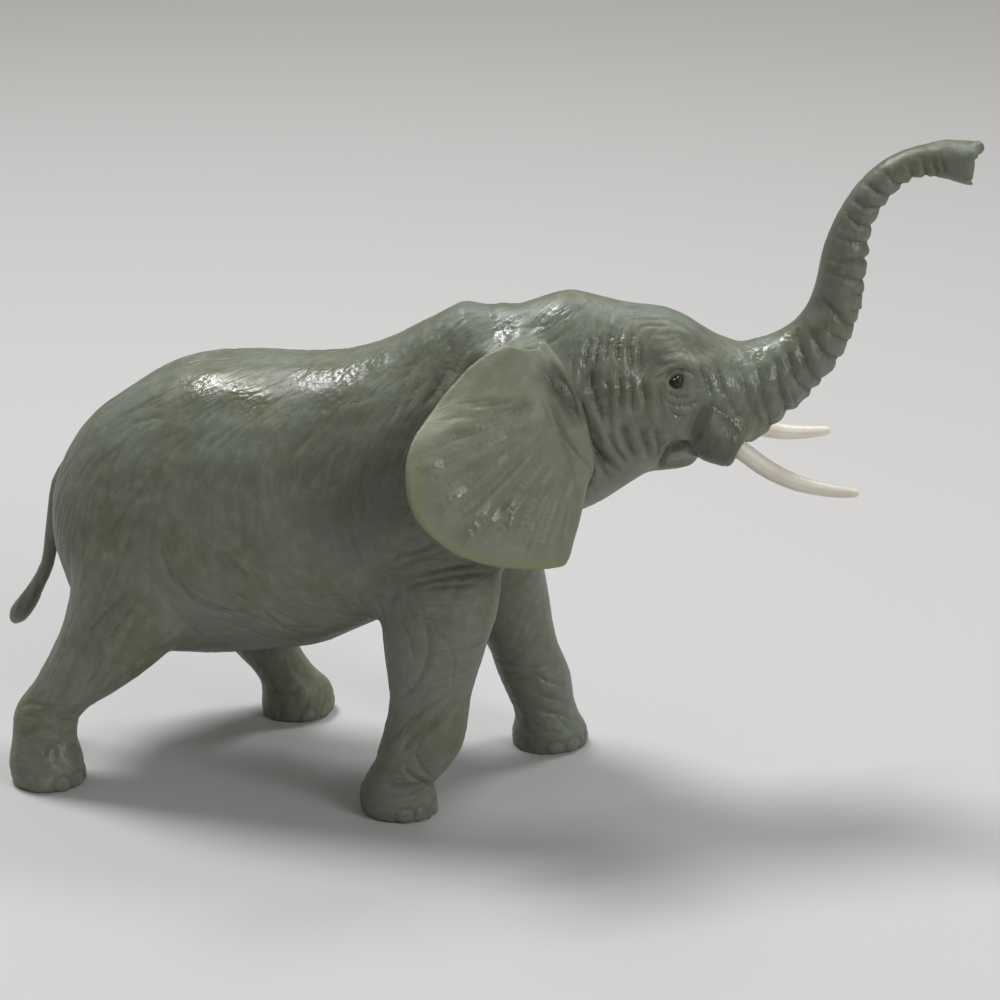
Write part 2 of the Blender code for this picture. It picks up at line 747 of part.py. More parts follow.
def stand(figure, pieces):
    """Centre the figure over its footprint, with its soles at height zero."""
    bpy.context.view_layer.update()
    view = bpy.context.evaluated_depsgraph_get()
    points = []
    for piece in pieces:
        shown = piece.evaluated_get(view)
        points += [shown.matrix_world @ vertex.co for vertex in shown.to_mesh().vertices]
        shown.to_mesh_clear()
    low = np.min(points, axis=0)
    high = np.max(points, axis=0)
    figure.location = (-(low[0] + high[0]) / 2, -(low[1] + high[1]) / 2, -low[2])


def main():
    """Build the figure."""
    clear_scene()
    figure = new_frame("elephant")
    head_frame = new_frame("head_frame", figure, HEAD_TURN)

    shell = body_shell("body_shell", figure)
    left_half = body_half("body_left_half", shell, 1, figure)
    right_half = body_half("body_right_half", shell, -1, figure)
    combine(left_half, pins("locating_pins", figure), "UNION")
    combine(right_half, pins("pin_sockets", figure, FIT_CLEARANCE), "DIFFERENCE")

    grey = [
        left_half,
        right_half,
        head_piece("head_and_trunk", figure, head_frame),
        tail("tail", figure),
        ear("left_ear", 1, head_frame),
        ear("right_ear", -1, head_frame),
    ]
    tusks = [tusk("left_tusk", 1, head_frame), tusk("right_tusk", -1, head_frame)]
    eyes = [eye("left_eye", 1, head_frame), eye("right_eye", -1, head_frame)]
    for pieces, finish in ((grey, "pvc"), (tusks, "ivory"), (eyes, "paint")):
        for piece in pieces:
            paint(piece, finish)
    stand(figure, grey + tusks + eyes)


main()
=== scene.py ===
"""Toy elephant in soft grey PVC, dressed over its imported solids.

Each moulded piece is melted from a copy of its own solid into a fine skin, and
then carved: fine wrinkles that follow the lie of the hide, named folds, trunk
ribs, toenails and the creases of the ears. Lengths are in metres.
"""

import math

import bmesh
import bpy
import numpy as np
from mathutils import Matrix, Vector
from mathutils.bvhtree import BVHTree
from mathutils.kdtree import KDTree


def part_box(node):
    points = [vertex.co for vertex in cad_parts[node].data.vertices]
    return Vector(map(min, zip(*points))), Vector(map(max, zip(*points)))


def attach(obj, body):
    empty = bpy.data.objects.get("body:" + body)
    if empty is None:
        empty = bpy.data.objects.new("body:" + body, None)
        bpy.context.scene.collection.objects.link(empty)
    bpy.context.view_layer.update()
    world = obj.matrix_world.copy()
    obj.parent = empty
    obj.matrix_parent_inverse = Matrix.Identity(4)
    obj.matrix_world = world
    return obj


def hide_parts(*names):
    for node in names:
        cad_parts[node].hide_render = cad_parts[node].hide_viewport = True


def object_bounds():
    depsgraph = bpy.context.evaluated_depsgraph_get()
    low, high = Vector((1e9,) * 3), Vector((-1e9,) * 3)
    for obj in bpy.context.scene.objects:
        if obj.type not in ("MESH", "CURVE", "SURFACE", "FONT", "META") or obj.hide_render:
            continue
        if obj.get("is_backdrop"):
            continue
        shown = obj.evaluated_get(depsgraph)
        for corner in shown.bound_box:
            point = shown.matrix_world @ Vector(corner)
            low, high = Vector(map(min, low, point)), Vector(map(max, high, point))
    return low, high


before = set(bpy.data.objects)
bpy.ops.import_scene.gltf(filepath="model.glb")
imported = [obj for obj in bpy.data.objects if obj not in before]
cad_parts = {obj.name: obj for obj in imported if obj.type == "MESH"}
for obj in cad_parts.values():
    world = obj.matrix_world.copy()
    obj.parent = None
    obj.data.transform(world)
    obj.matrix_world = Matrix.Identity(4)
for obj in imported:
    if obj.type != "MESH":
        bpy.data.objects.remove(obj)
cad_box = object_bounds()

MM = 0.001

# The mirror planes of the body and of the turned head, both through the neck's axis,
# and the camera's place and lens
NECK_AXIS = Vector((7.336, 1.022, 0)) * MM
HEAD_TURN = math.radians(15)
BODY_NORMAL = Vector((0, 1, 0))
HEAD_NORMAL = Vector((-math.sin(HEAD_TURN), math.cos(HEAD_TURN), 0))
VIEW_TARGET = Vector((7.336, 3.722, 60)) * MM
VIEW_DISTANCE = 600 * MM
VIEW_AZIMUTH = math.radians(13)
VIEW_ELEVATION = math.radians(21)
LENS = 108
SENSOR = 36
PICTURE = 1000

# The nape seam's plane
HEAD_FRAME = Matrix.Rotation(HEAD_TURN, 3, "Z")
SEAM_TILT = math.radians(17)
SEAM_NORMAL = HEAD_FRAME @ Vector((math.cos(SEAM_TILT), 0, math.sin(SEAM_TILT)))
SEAM_POINT = NECK_AXIS + HEAD_FRAME @ Vector((-2.0, 0, 104.5)) * MM

# Seams: how near its plane a seam's face lies, how far the nape's face is drawn out to
# be cut, how far the halves lap, and the half width of the slit left at the nape
SEAM_REACH = 0.4 * MM
SEAM_SPARE = 3 * MM
SEAM_LAP = 0.2 * MM
SEAM_GAP = 0.01 * MM
SAME_WAY = 0.99
MERGE_REACH = 0.001 * MM
CUT_REACH = 0.01 * MM

# Fineness of the skins, and the share of its triangles that the carved figure keeps
FIGURE_VOXEL = 0.70 * MM
EAR_VOXEL = 0.36 * MM
SMALL_VOXEL = 0.30 * MM
KEPT_SHARE = 0.42

# Steps of easing: in and out again keeps a form's size, in alone softens it
EVEN = (0.5, -0.52)
SOFTEN = (0.5,)
FIGURE_ROUNDS = 9
BEHIND_NAPE_ROUNDS = 17
NAPE_ROUNDS = 70
EAR_ROUNDS = 14
SMALL_ROUNDS = 8

# Strokes: step along a line, how sharp a groove's floor is, how full its middle is,
# and the width at its ends with what the middle adds, for the groove and the painted shade along
# it
LINE_STEP = 0.35 * MM
GROOVE_SHARPNESS = 1.4
STROKE_FULLNESS = 1.8
GROOVE_WIDTHS = 0.55, 0.45
SHADE_WIDTHS = 0.6, 0.4
# How dark the painted shade along the trunk's rings is
RING_SHADE = 0.7

# Wrinkles: step, curl in radians a step, spread of depth and of width, painted shade in them
WRINKLE_STEP = 0.36 * MM
WRINKLE_CURL = 0.012
WRINKLE_DEEPS = 0.35, 1
WRINKLE_WIDTHS = 0.8, 1.2
WRINKLE_SHADE = 0.35
LIE_REACH = 3 * MM
CORE_PULL = 4e6
WAVES = 24

# Combed patches: how far apart their patterns are read, and their spacing and strength
PATCH_SHIFT = 5 * MM
BODY_COMB = 7.5 * MM
SMALL_COMB = 5 * MM
TRUNK_COMB_STRENGTH = 0.3
EAR_COMB_STRENGTH = 0.4

# The random draws' seed, and how flat an eye's bead is
SEED = 7
BEAD_FLATNESS = 0.75


def view_axes():
    """The camera's right, up and backward directions."""
    flat = math.cos(VIEW_ELEVATION)
    back = Vector(
        (math.sin(VIEW_AZIMUTH) * flat, -math.cos(VIEW_AZIMUTH) * flat, math.sin(VIEW_ELEVATION))
    )
    right = Vector((0, 0, 1)).cross(back).normalized()
    return right, back.cross(right), back


def view_ray(x, y):
    """The camera's place and the way from it to a point of the picture."""
    right, up, back = view_axes()
    focal = PICTURE * LENS / SENSOR
    way = right * (x - PICTURE / 2) - up * (y - PICTURE / 2) - back * focal
    return VIEW_TARGET + back * VIEW_DISTANCE, way.normalized()


def mirror(places, normal):
    """Places or ways mirrored in a plane through the origin."""
    places = np.asarray(places, float)
    normal = np.array(normal)
    return places - 2 * np.outer(places @ normal, normal)


def far_side(places, normal):
    """Places mirrored in a plane through the neck's axis."""
    offset = np.array(NECK_AXIS)
    return mirror(np.array(places) - offset, normal) + offset


def rise(values, start, run):
    """0 up to a start, 1 past a run beyond it, and straight between."""
    return np.clip((values - start) / run, 0, 1)


def fall(values, end, run):
    """1 up to a run before an end, 0 past it, and straight between."""
    return np.clip((end - values) / run, 0, 1)


def solid_copy(*nodes):
    """Copies of CAD solids in one bmesh, their loose corners merged."""
    bm = bmesh.new()
    for name in nodes:
        bm.from_mesh(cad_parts[name].data)
    bmesh.ops.remove_doubles(bm, verts=bm.verts, dist=MERGE_REACH)
    bm.normal_update()
    return bm


def draw_out(bm, way):
    """Draw out the flat face at the nape seam, so that softening can't round its rim."""
    flat = [
        face for face in bm.faces
        if face.normal.dot(way) > SAME_WAY
        and abs((face.calc_center_median() - SEAM_POINT).dot(way)) < SEAM_REACH
    ]
    made = bmesh.ops.extrude_face_region(bm, geom=flat)["geom"]
    corners = [item for item in made if isinstance(item, bmesh.types.BMVert)]
    bmesh.ops.translate(bm, verts=corners, vec=way * SEAM_SPARE)
    bmesh.ops.delete(bm, geom=[face for face in flat if face.is_valid], context="FACES_ONLY")


def cut_off(bm, point, way):
    """Cut a skin at a plane, drop what lies beyond it and close it with a sharp rim."""
    cut = bmesh.ops.bisect_plane(
        bm, geom=bm.verts[:] + bm.edges[:] + bm.faces[:], dist=CUT_REACH,
        plane_co=point, plane_no=way, clear_outer=True,
    )["geom_cut"]
    rim = [item for item in cut if isinstance(item, bmesh.types.BMEdge)]
    filled = bmesh.ops.triangle_fill(bm, edges=rim, use_beauty=False)["geom"]
    for item in filled:
        if isinstance(item, bmesh.types.BMFace):
            item.normal_update()
            if item.normal.dot(way) < 0:
                item.normal_flip()
    for edge in rim:
        if edge.is_valid:
            edge.smooth = False


def cut_copy(piece, name, cuts):
    """A copy of a carved skin, cut off at planes, with nothing below the soles."""
    bm = bmesh.new()
    bm.from_mesh(piece.data)
    for point, way in cuts:
        cut_off(bm, point, way)
    for vertex in bm.verts:
        vertex.co.z = max(vertex.co.z, 0)
    return new_piece(name, bm)


def new_piece(name, bm):
    """Turn a bmesh into a smooth shaded piece."""
    mesh = bpy.data.meshes.new(name)
    bm.to_mesh(mesh)
    bm.free()
    mesh.shade_smooth()
    piece = bpy.data.objects.new(name, mesh)
    bpy.context.scene.collection.objects.link(piece)
    return piece


def settle(piece):
    """Make a piece's modifiers part of its mesh."""
    view = bpy.context.evaluated_depsgraph_get()
    mesh = bpy.data.meshes.new_from_object(piece.evaluated_get(view))
    mesh.name = piece.name
    piece.modifiers.clear()
    piece.data = mesh
    mesh.shade_smooth()


def outer_shell(piece):
    """Drop the inside of a hollow skin and keep its outside."""
    bm = bmesh.new()
    bm.from_mesh(piece.data)
    first = max(bm.verts, key=lambda vertex: vertex.co.z)
    seen = {first}
    rim = [first]
    while rim:
        vertex = rim.pop()
        for edge in vertex.link_edges:
            other = edge.other_vert(vertex)
            if other not in seen:
                seen.add(other)
                rim.append(other)
    hidden = [vertex for vertex in bm.verts if vertex not in seen]
    bmesh.ops.delete(bm, geom=hidden, context="VERTS")
    bm.to_mesh(piece.data)
    bm.free()


def get_points(mesh):
    """A mesh's corners as an array."""
    points = np.empty(len(mesh.vertices) * 3)
    mesh.vertices.foreach_get("co", points)
    return points.reshape(-1, 3)


def get_normals(mesh):
    """A mesh's corner normals as an array."""
    normals = np.empty(len(mesh.vertices) * 3)
    mesh.vertex_normals.foreach_get("vector", normals)
    return normals.reshape(-1, 3)


def get_edges(mesh):
    """A mesh's edges as an array."""
    edges = np.empty(len(mesh.edges) * 2, int)
    mesh.edges.foreach_get("vertices", edges)
    return edges.reshape(-1, 2)


def neighbour_means(values, edges):
    """The mean of each corner's neighbours."""
    count = np.bincount(edges.ravel(), minlength=len(values))
    sums = [
        np.bincount(edges[:, 0], column[edges[:, 1]], len(values))
        + np.bincount(edges[:, 1], column[edges[:, 0]], len(values))
        for column in values.T
    ]
    return np.array(sums).T / count[:, None]


def ease(piece, rounds, share=1, steps=EVEN):
    """Even out facets and steps, for rounds of steps towards the neighbours' mean."""
    points = get_points(piece.data)
    edges = get_edges(piece.data)
    for factor in steps * rounds:
        points += factor * share * (neighbour_means(points, edges) - points)
    points[:, 2] = np.maximum(points[:, 2], 0)
    piece.data.vertices.foreach_set("co", points.ravel())
    piece.data.update()


def fine_skin(name, bm, voxel, rounds):
    """A fine and even skin over the forms of a bmesh."""
    piece = new_piece(name, bm)
    remesh = piece.modifiers.new("one skin", "REMESH")
    remesh.mode = "VOXEL"
    remesh.voxel_size = voxel
    settle(piece)
    outer_shell(piece)
    ease(piece, rounds)
    return piece


class Skin:
    """A fine skin while it is carved: its corners, and what each corner gets."""

    def __init__(self, piece):
        self.piece = piece
        self.points = get_points(piece.data)
        self.normals = get_normals(piece.data)
        self.depth = np.zeros(len(self.points))
        # painted shade: how far each corner is darkened in folds, creases, hollows and shaded
        # patches
        self.painted_shade = np.zeros(len(self.points))
        self.streak = np.zeros(len(self.points))
        self.gloss = np.zeros(len(self.points))
        self.olive = np.zeros(len(self.points))
        self.tree = KDTree(len(self.points))
        for i, point in enumerate(self.points):
            self.tree.insert(point, i)
        self.tree.balance()
        bm = bmesh.new()
        bm.from_mesh(piece.data)
        self.sheet = BVHTree.FromBMesh(bm)
        bm.free()

    def seen_at(self, x, y):
        """The point of the skin seen at a point of the picture, or None."""
        return self.sheet.ray_cast(*view_ray(x, y))[0]

    def line_at(self, marks):
        """A close row of places along marks of the picture, or None off the skin."""
        places = [self.seen_at(x, y) for x, y in marks]
        places = [place for place in places if place is not None]
        return curve_through(places, LINE_STEP) if len(places) > 1 else None

    def snap(self, places):
        """The nearest corner of the skin to each place."""
        return np.array([self.tree.find(place)[1] for place in places])

    def across(self, places, normal):
        """The mirrored places on the figure's other side, set on the skin."""
        return self.points[self.snap(far_side(places, normal))]

    def near(self, places, reaches):
        """Corners within reach of each place: place index, corner, distance share."""
        which, corner, share = [], [], []
        for i, (place, reach) in enumerate(zip(places, reaches)):
            for _, index, distance in self.tree.find_range(place, reach):
                which.append(i)
                corner.append(index)
                share.append(distance / reach)
        return np.array(which, int), np.array(corner, int), np.array(share)

    def groove(self, places, reaches, deeps, layer=None):
        """Press grooves along places, raise ridges where deeps are negative, or mark a
        layer. Each corner gets the deepest."""
        which, corner, share = self.near(places, reaches)
        if not len(which):
            return
        made = np.zeros(len(self.points))
        np.maximum.at(made, corner, np.abs(deeps)[which] * (1 - share) ** GROOVE_SHARPNESS)
        if layer is None:
            self.depth += made * math.copysign(1, np.sum(deeps))
        else:
            np.maximum(layer, made, out=layer)

    def comb(self, lie, rng, spacing, strength):
        """Lay patches of coordinates along the lie of the hide, in two layers."""
        self.combs = {}
        for name in ("first_comb", "second_comb"):
            free = np.ones(len(self.points), bool)
            centres = []
            for i in rng.permutation(len(self.points)):
                if free[i]:
                    centres.append(i)
                    for _, index, _ in self.tree.find_range(self.points[i], spacing):
                        free[index] = False
            middles, normals = self.points[centres], self.normals[centres]
            ways = lie.way(middles, normals)
            sides = np.cross(normals, ways)
            tree = KDTree(len(middles))
            for i, middle in enumerate(middles):
                tree.insert(middle, i)
            tree.balance()
            found = [tree.find_n(point, 2) for point in self.points]
            patch = np.array([pair[0][1] for pair in found])
            lead = np.array([pair[1][2] - pair[0][2] for pair in found])
            offset = self.points - middles[patch]
            along = np.sum(offset * ways[patch], axis=1)
            across = np.sum(offset * sides[patch], axis=1)
            self.combs[name] = np.column_stack((along, across, patch * PATCH_SHIFT))
            inside = rise(lead / spacing, start=0.2, run=0.3)
            self.combs[name + "_weight"] = strength * inside

    def finish(self):
        """Move the corners and store what the materials read."""
        points = self.points - self.normals * self.depth[:, None]
        points = np.clip(points, *np.array(cad_box))
        mesh = self.piece.data
        mesh.vertices.foreach_set("co", points.ravel())
        layers = {name: getattr(self, name) for name in ("painted_shade", "streak", "gloss", "olive")}
        for name, values in {**layers, **self.combs}.items():
            if values.ndim == 1:
                layer = mesh.attributes.new(name, "FLOAT", "POINT")
                layer.data.foreach_set("value", np.clip(values, 0, 1))
            else:
                layer = mesh.attributes.new(name, "FLOAT_VECTOR", "POINT")
                layer.data.foreach_set("vector", values.ravel())
        mesh.update()


def curve_through(places, step):
    """Evenly spaced places on a smooth curve through a few."""
    places = [Vector(place) for place in places]
    padded = [places[0] * 2 - places[1], *places, places[-1] * 2 - places[-2]]
    dense = []
    for before, start, end, after in zip(padded, padded[1:], padded[2:], padded[3:]):
        count = max(2, round((end - start).length / step))
        for i in range(count):
            t = i / count
            dense.append(
                start
                + (end - before) * (t / 2)
                + (before - start * 2.5 + end * 2 - after / 2) * t**2
                + ((start - end) * 1.5 + (after - before) / 2) * t**3
            )
    dense.append(places[-1])
    return np.array(dense)


def taper(count):
    """Full in the middle of a stroke and nothing at its ends."""
    t = np.linspace(0, 1, count)
    return np.clip(np.sin(math.pi * t) * STROKE_FULLNESS, 0.1, 1)


def press_line(skin, line, width, deep, dark):
    """Press one fold along a row of places, full in its middle, and paint shade along it."""
    line = skin.points[skin.snap(line)]
    share = taper(len(line))
    ends, middle = GROOVE_WIDTHS
    skin.groove(line, width * MM * (ends + middle * share), deep * MM * share)
    # painted shade: the skin along the fold is darkened as if shaded
    ends, middle = SHADE_WIDTHS
    skin.groove(line, width * MM * 0.6 * (ends + middle * share), dark * share, skin.painted_shade)


def fold(skin, width, deep, marks, normal, dark):
    """Press a fold along marks of the picture, and its mirror on the far side."""
    line = skin.line_at(marks)
    if line is not None:
        press_line(skin, line, width, deep, dark)
        press_line(skin, skin.across(line, normal), width, deep, dark)


def ring(skin, width, deep, marks):
    """Press a groove down the trunk's side, on round its underside and up again."""
    line = skin.line_at(marks)
    if line is not None:
        other = skin.across(line, HEAD_NORMAL)[::-1]
        under = np.linspace(line[-1], other[0], 16)[1:-1]
        press_line(skin, np.vstack((line, under, other)), width, deep, RING_SHADE)


def press_at(skin, width, deep, marks, normal=None):
    """Press a round hollow at each mark, or raise it where deep is negative."""
    for x, y in marks:
        place = skin.seen_at(x, y)
        if place is None:
            continue
        sides = [np.array([place])]
        if normal is not None:
            sides.append(skin.across([place], normal))
        for side in sides:
            _, corner, share = skin.near(side, [width * MM])
            np.add.at(skin.depth, corner, deep * MM * (1 - share**2) ** 2)


def dab(skin, layer, marks, normal=None):
    """Mark soft patches in a layer: place in the picture, radius and strength."""
    for x, y, width, strength in marks:
        place = skin.seen_at(x, y)
        if place is None:
            continue
        sides = [np.array([place])]
        if normal is not None:
            sides.append(skin.across([place], normal))
        for side in sides:
            _, corner, share = skin.near(side, [width * MM])
            np.maximum.at(layer, corner, strength * (1 - share**2))


class Lie:
    """Which way the wrinkles of a skin run, from a few marks of the picture."""

    def __init__(self, skin, fields, cores, weight):
        all_places, all_ways = [], []
        right, up, _ = view_axes()
        for marks, mirror_normal in fields:
            places, ways = [], []
            for x, y, slant in marks:
                place = skin.seen_at(x, y)
                if place is None:
                    continue
                slant = math.radians(slant)
                normal = Vector(skin.normals[skin.tree.find(place)[1]])
                way = right * math.cos(slant) + up * math.sin(slant)
                places.append(place)
                ways.append((way - normal * way.dot(normal)).normalized())
            all_places += [np.array(places), far_side(places, mirror_normal)]
            all_ways += [np.array(ways), mirror(ways, mirror_normal)]
        self.places, ways = np.vstack(all_places), np.vstack(all_ways)
        self.tensors = ways[:, :, None] * ways[:, None, :]
        self.cores = cores
        self.weight = weight

    def around(self, points, normals):
        """The way round the nearest core of torso, leg or trunk."""
        best = np.full(len(points), np.inf)
        ways = np.zeros_like(points)
        for start, end in self.cores:
            start = np.array(start) * MM
            run = np.array(end) * MM - start
            length = np.linalg.norm(run)
            share = np.clip((points - start) @ run / length**2, 0, 1)
            gap = np.linalg.norm(points - start - share[:, None] * run, axis=1)
            closer = gap < best
            best[closer] = gap[closer]
            ways[closer] = np.cross(run / length, normals[closer])
        return ways

    def way(self, points, normals):
        """The unit way of the wrinkles at each point."""
        gap = points[:, None, :] - self.places[None]
        weight = 1 / (np.sum(gap**2, axis=2) + LIE_REACH**2) ** 2
        tensor = np.einsum("ij,jkl->ikl", weight, self.tensors)
        round_way = self.around(points, normals)
        tensor += self.weight * round_way[:, :, None] * round_way[:, None, :]
        ways = np.linalg.eigh(tensor)[1][:, :, 2]
        ways -= normals * np.sum(ways * normals, axis=1)[:, None]
        return ways / np.maximum(np.linalg.norm(ways, axis=1), 1e-9)[:, None]


def wrinkle(skin, lie, rng, count, length, width, deep, slant, layer=None, where=None):
    """Trace many short wrinkles along the lie of the hide and press them in with painted shade,
    or mark them in a layer instead.
    """
    pool = np.arange(len(skin.points)) if where is None else np.flatnonzero(where)
    corner = rng.choice(pool, count)
    runs = rng.uniform(*length, count) * MM
    tilt = np.radians(rng.normal(0, slant, count))
    curl = rng.normal(0, WRINKLE_CURL, count)
    places = skin.points[corner].copy()
    last = None
    path, steps = [], int(length[1] * MM / WRINKLE_STEP)
    for i in range(steps):
        normals = skin.normals[corner]
        way = lie.way(places, normals)
        side = np.cross(normals, way)
        turn = (tilt + curl * i)[:, None]
        way = way * np.cos(turn) + side * np.sin(turn)
        if last is not None:
            way *= np.where(np.sum(way * last, axis=1) < 0, -1, 1)[:, None]
        last = way
        path.append(places.copy())
        places = places + way * WRINKLE_STEP
        corner = skin.snap(places)
        normals = skin.normals[corner]
        rise = np.sum((places - skin.points[corner]) * normals, axis=1)
        places -= normals * rise[:, None]
    path = np.array(path)
    deeps = rng.uniform(*WRINKLE_DEEPS, count) * deep * MM
    reach = rng.uniform(*WRINKLE_WIDTHS, count) * width * MM
    t = np.arange(steps)[:, None] * WRINKLE_STEP / runs[None]
    share = np.clip(np.sin(math.pi * np.clip(t, 0, 1)) * STROKE_FULLNESS, 0, 1)
    live = (t < 1) & (share > 0.05)
    flat = path[live]
    reaches = (reach[None] * (0.7 + 0.3 * share))[live]
    strength = (deeps[None] * share)[live]
    if layer is None:
        skin.groove(flat, reaches, strength)
        # painted shade darkening the wrinkles
        skin.groove(flat, reaches, strength / (deep * MM) * WRINKLE_SHADE, skin.painted_shade)
    else:
        skin.groove(flat, reaches, strength / (deep * MM), layer)


def lumps(skin, rng, scale, height):
    """Swell and sink the skin softly, as sculpted flesh does."""
    waves = rng.normal(0, 1, (WAVES, 3))
    waves *= (2 * math.pi / (scale * MM)) / np.linalg.norm(waves, axis=1)[:, None]
    waves *= rng.uniform(0.6, 1.3, (WAVES, 1))
    phase = rng.uniform(0, 2 * math.pi, WAVES)
    total = np.sum(np.sin(skin.points @ waves.T + phase), axis=1)
    skin.depth += height * MM * total / math.sqrt(WAVES / 2)


# Slant of the wrinkles in degrees at marks of the picture
BODY_LIE = (
    (165, 385, 35), (205, 380, 30), (250, 395, 32), (300, 380, 35), (340, 380, 42),
    (395, 350, 45), (440, 330, 40), (130, 425, 12), (160, 418, 8), (110, 470, 30),
    (125, 500, 40), (170, 460, 50), (200, 440, 48), (200, 500, 58), (150, 530, 62),
    (185, 520, 75), (230, 480, 70), (240, 520, 95), (165, 560, 100), (175, 585, 125),
    (210, 560, 118), (250, 560, 135), (280, 590, 140), (270, 500, 100), (310, 470, 70),
    (300, 430, 50), (350, 420, 58), (400, 400, 60), (430, 380, 60), (370, 470, 75),
    (340, 520, 90), (380, 520, 80), (350, 570, 110), (310, 610, 150), (240, 610, 155),
    (200, 590, 150), (130, 600, 55), (100, 610, 55), (80, 560, 50), (75, 500, 55),
    (100, 560, 58), (90, 650, 50), (60, 690, 60), (110, 650, 70), (140, 640, 60),
    (45, 730, 10), (40, 760, 170), (65, 740, 160), (385, 600, 105), (370, 560, 100),
    (400, 570, 160), (440, 575, 15), (470, 580, 12), (420, 550, 20), (450, 610, 2),
    (480, 600, 2), (440, 640, 178), (400, 640, 110), (410, 690, 45), (430, 720, 40),
    (400, 740, 55), (450, 680, 5), (450, 730, 60), (410, 770, 15), (420, 790, 0),
    (380, 790, 170), (530, 620, 60), (540, 680, 20), (545, 720, 170), (280, 680, 70),
)
HEAD_LIE = (
    (600, 330, 85), (620, 350, 88), (640, 340, 80), (590, 360, 85), (610, 400, 100),
    (630, 430, 105), (600, 430, 105), (640, 460, 120), (660, 430, 110), (600, 470, 115),
    (670, 340, 20), (700, 340, 330), (650, 320, 5), (575, 300, 60), (700, 370, 100),
    (720, 380, 95), (735, 400, 80), (720, 420, 60), (700, 430, 50), (690, 410, 70),
    (660, 400, 95), (660, 365, 10), (740, 430, 100), (560, 330, 40), (620, 480, 130),
)
EAR_LIE = (
    (520, 380, 10), (480, 400, 20), (450, 420, 25), (500, 430, 35), (450, 455, 15),
    (480, 470, 30), (430, 490, 5), (520, 470, 45), (460, 510, 30), (500, 510, 50),
    (540, 500, 70), (520, 545, 70), (560, 540, 95), (480, 545, 50), (550, 450, 60),
)
TAIL_LIE = ((46, 500, 100), (47, 545, 95), (40, 580, 65), (25, 605, 55))

# Axes of the torso, the legs and the neck in millimetres
BODY_CORES = (
    ((-80, 1, 60), (10, 1, 70)),
    ((-9, -15, 50), (-9, -18, 0)),
    ((-66, -16, 48), (-84, -20, 0)),
    ((4, 16, 50), (14, 20, 0)),
    ((-62, 18, 48), (-43, 23, 0)),
)
HEAD_CORES = (((0, 0, 85), (50, 13, 85)),)

# Feet: middle of the sole in millimetres, the way its toes face, and its nails
FEET = (
    ((-8.4, -17.4), 0, 5), ((-82.6, -20.5), 0, 4),
    ((14.4, 20.1), 0, 5), ((-42.3, 22.8), 0, 4),
)
FOOT_REACH = 11 * MM
FOOT_HEIGHT = 6 * MM
NAIL_HEIGHT = 1.5 * MM
NAILS_APART = 34
NAIL_EDGE = 1.2
NAIL_RISE = 0.13 * MM
NAIL_RIM_DEPTH = 0.10 * MM

# Deep folds: width and depth in millimetres, and marks of the picture
BODY_FOLDS = (
    (1.6, 0.52, ((177, 575), (186, 594), (204, 606), (236, 617))),
    (1.0, 0.31, ((204, 600), (222, 610), (250, 613))),
    (1.4, 0.33, ((161, 532), (163, 556), (172, 580), (184, 594))),
    (1.0, 0.21, ((214, 545), (232, 562), (250, 578))),
    (2.2, 0.57, ((378, 560), (383, 585), (377, 612), (371, 628))),
    (1.2, 0.42, ((388, 562), (396, 585), (388, 606))),
    (1.0, 0.42, ((388, 560), (405, 553), (428, 547), (440, 536))),
    (1.0, 0.44, ((392, 573), (413, 562), (441, 556), (458, 548))),
    (1.0, 0.42, ((400, 580), (424, 573), (450, 568), (474, 563))),
    (1.0, 0.37, ((405, 586), (434, 580), (460, 575), (492, 572))),
    (0.8, 0.26, ((418, 590), (450, 586), (480, 583))),
    (0.9, 0.26, ((350, 520), (356, 548), (366, 570))),
    (1.3, 0.42, ((419, 599), (427, 625), (428, 655), (420, 678), (409, 692), (396, 699))),
    (0.9, 0.26, ((398, 614), (410, 640), (414, 662))),
    (0.9, 0.23, ((428, 610), (436, 628), (446, 640))),
    (1.0, 0.36, ((398, 755), (412, 739), (430, 727), (446, 716))),
    (0.9, 0.31, ((402, 722), (420, 712), (440, 700), (452, 690))),
    (0.9, 0.29, ((392, 742), (406, 724), (424, 712))),
    (1.1, 0.36, ((403, 760), (408, 773), (419, 781), (434, 786))),
    (1.0, 0.33, ((415, 752), (420, 766), (430, 776), (440, 779))),
    (1.4, 0.47, ((364, 778), (384, 786), (406, 788), (432, 781))),
    (0.8, 0.23, ((372, 760), (388, 770), (404, 776))),
    (0.9, 0.26, ((446, 640), (454, 660), (452, 690))),
    (0.9, 0.27, ((104, 705), (118, 682), (136, 668))),
    (0.8, 0.25, ((84, 700), (88, 684), (98, 668))),
    (0.9, 0.25, ((92, 705), (96, 690), (108, 672))),
    (1.2, 0.36, ((108, 680), (112, 662), (124, 645), (134, 620))),
    (0.9, 0.25, ((84, 636), (98, 620), (118, 600), (126, 586))),
    (0.9, 0.25, ((108, 640), (120, 622), (134, 604))),
    (1.0, 0.29, ((18, 702), (34, 704), (56, 706), (74, 710))),
    (1.0, 0.33, ((17, 733), (36, 728), (60, 730), (78, 734))),
    (0.8, 0.25, ((22, 716), (44, 716), (70, 720))),
    (1.3, 0.47, ((42, 755), (52, 748), (64, 742))),
    (1.3, 0.52, ((54, 750), (57, 762), (64, 770))),
    (0.9, 0.27, ((536, 675), (548, 682), (566, 684))),
    (0.9, 0.29, ((532, 690), (548, 698), (568, 702))),
    (0.9, 0.29, ((528, 706), (546, 712), (570, 716))),
    (0.8, 0.25, ((556, 712), (566, 726), (580, 734))),
    (0.9, 0.31, ((262, 652), (276, 648), (292, 652))),
    (0.9, 0.29, ((264, 690), (284, 694), (306, 688))),
    (0.9, 0.31, ((292, 668), (304, 676), (316, 690))),
    (2.4, 0.52, ((440, 330), (452, 352), (440, 382), (424, 410))),
    (1.8, 0.37, ((470, 330), (464, 352), (450, 380))),
    (1.0, 0.23, ((410, 370), (402, 392), (392, 420))),
    (1.0, 0.23, ((424, 360), (416, 386), (404, 414))),
    (1.0, 0.21, ((130, 425), (146, 420), (164, 418))),
)
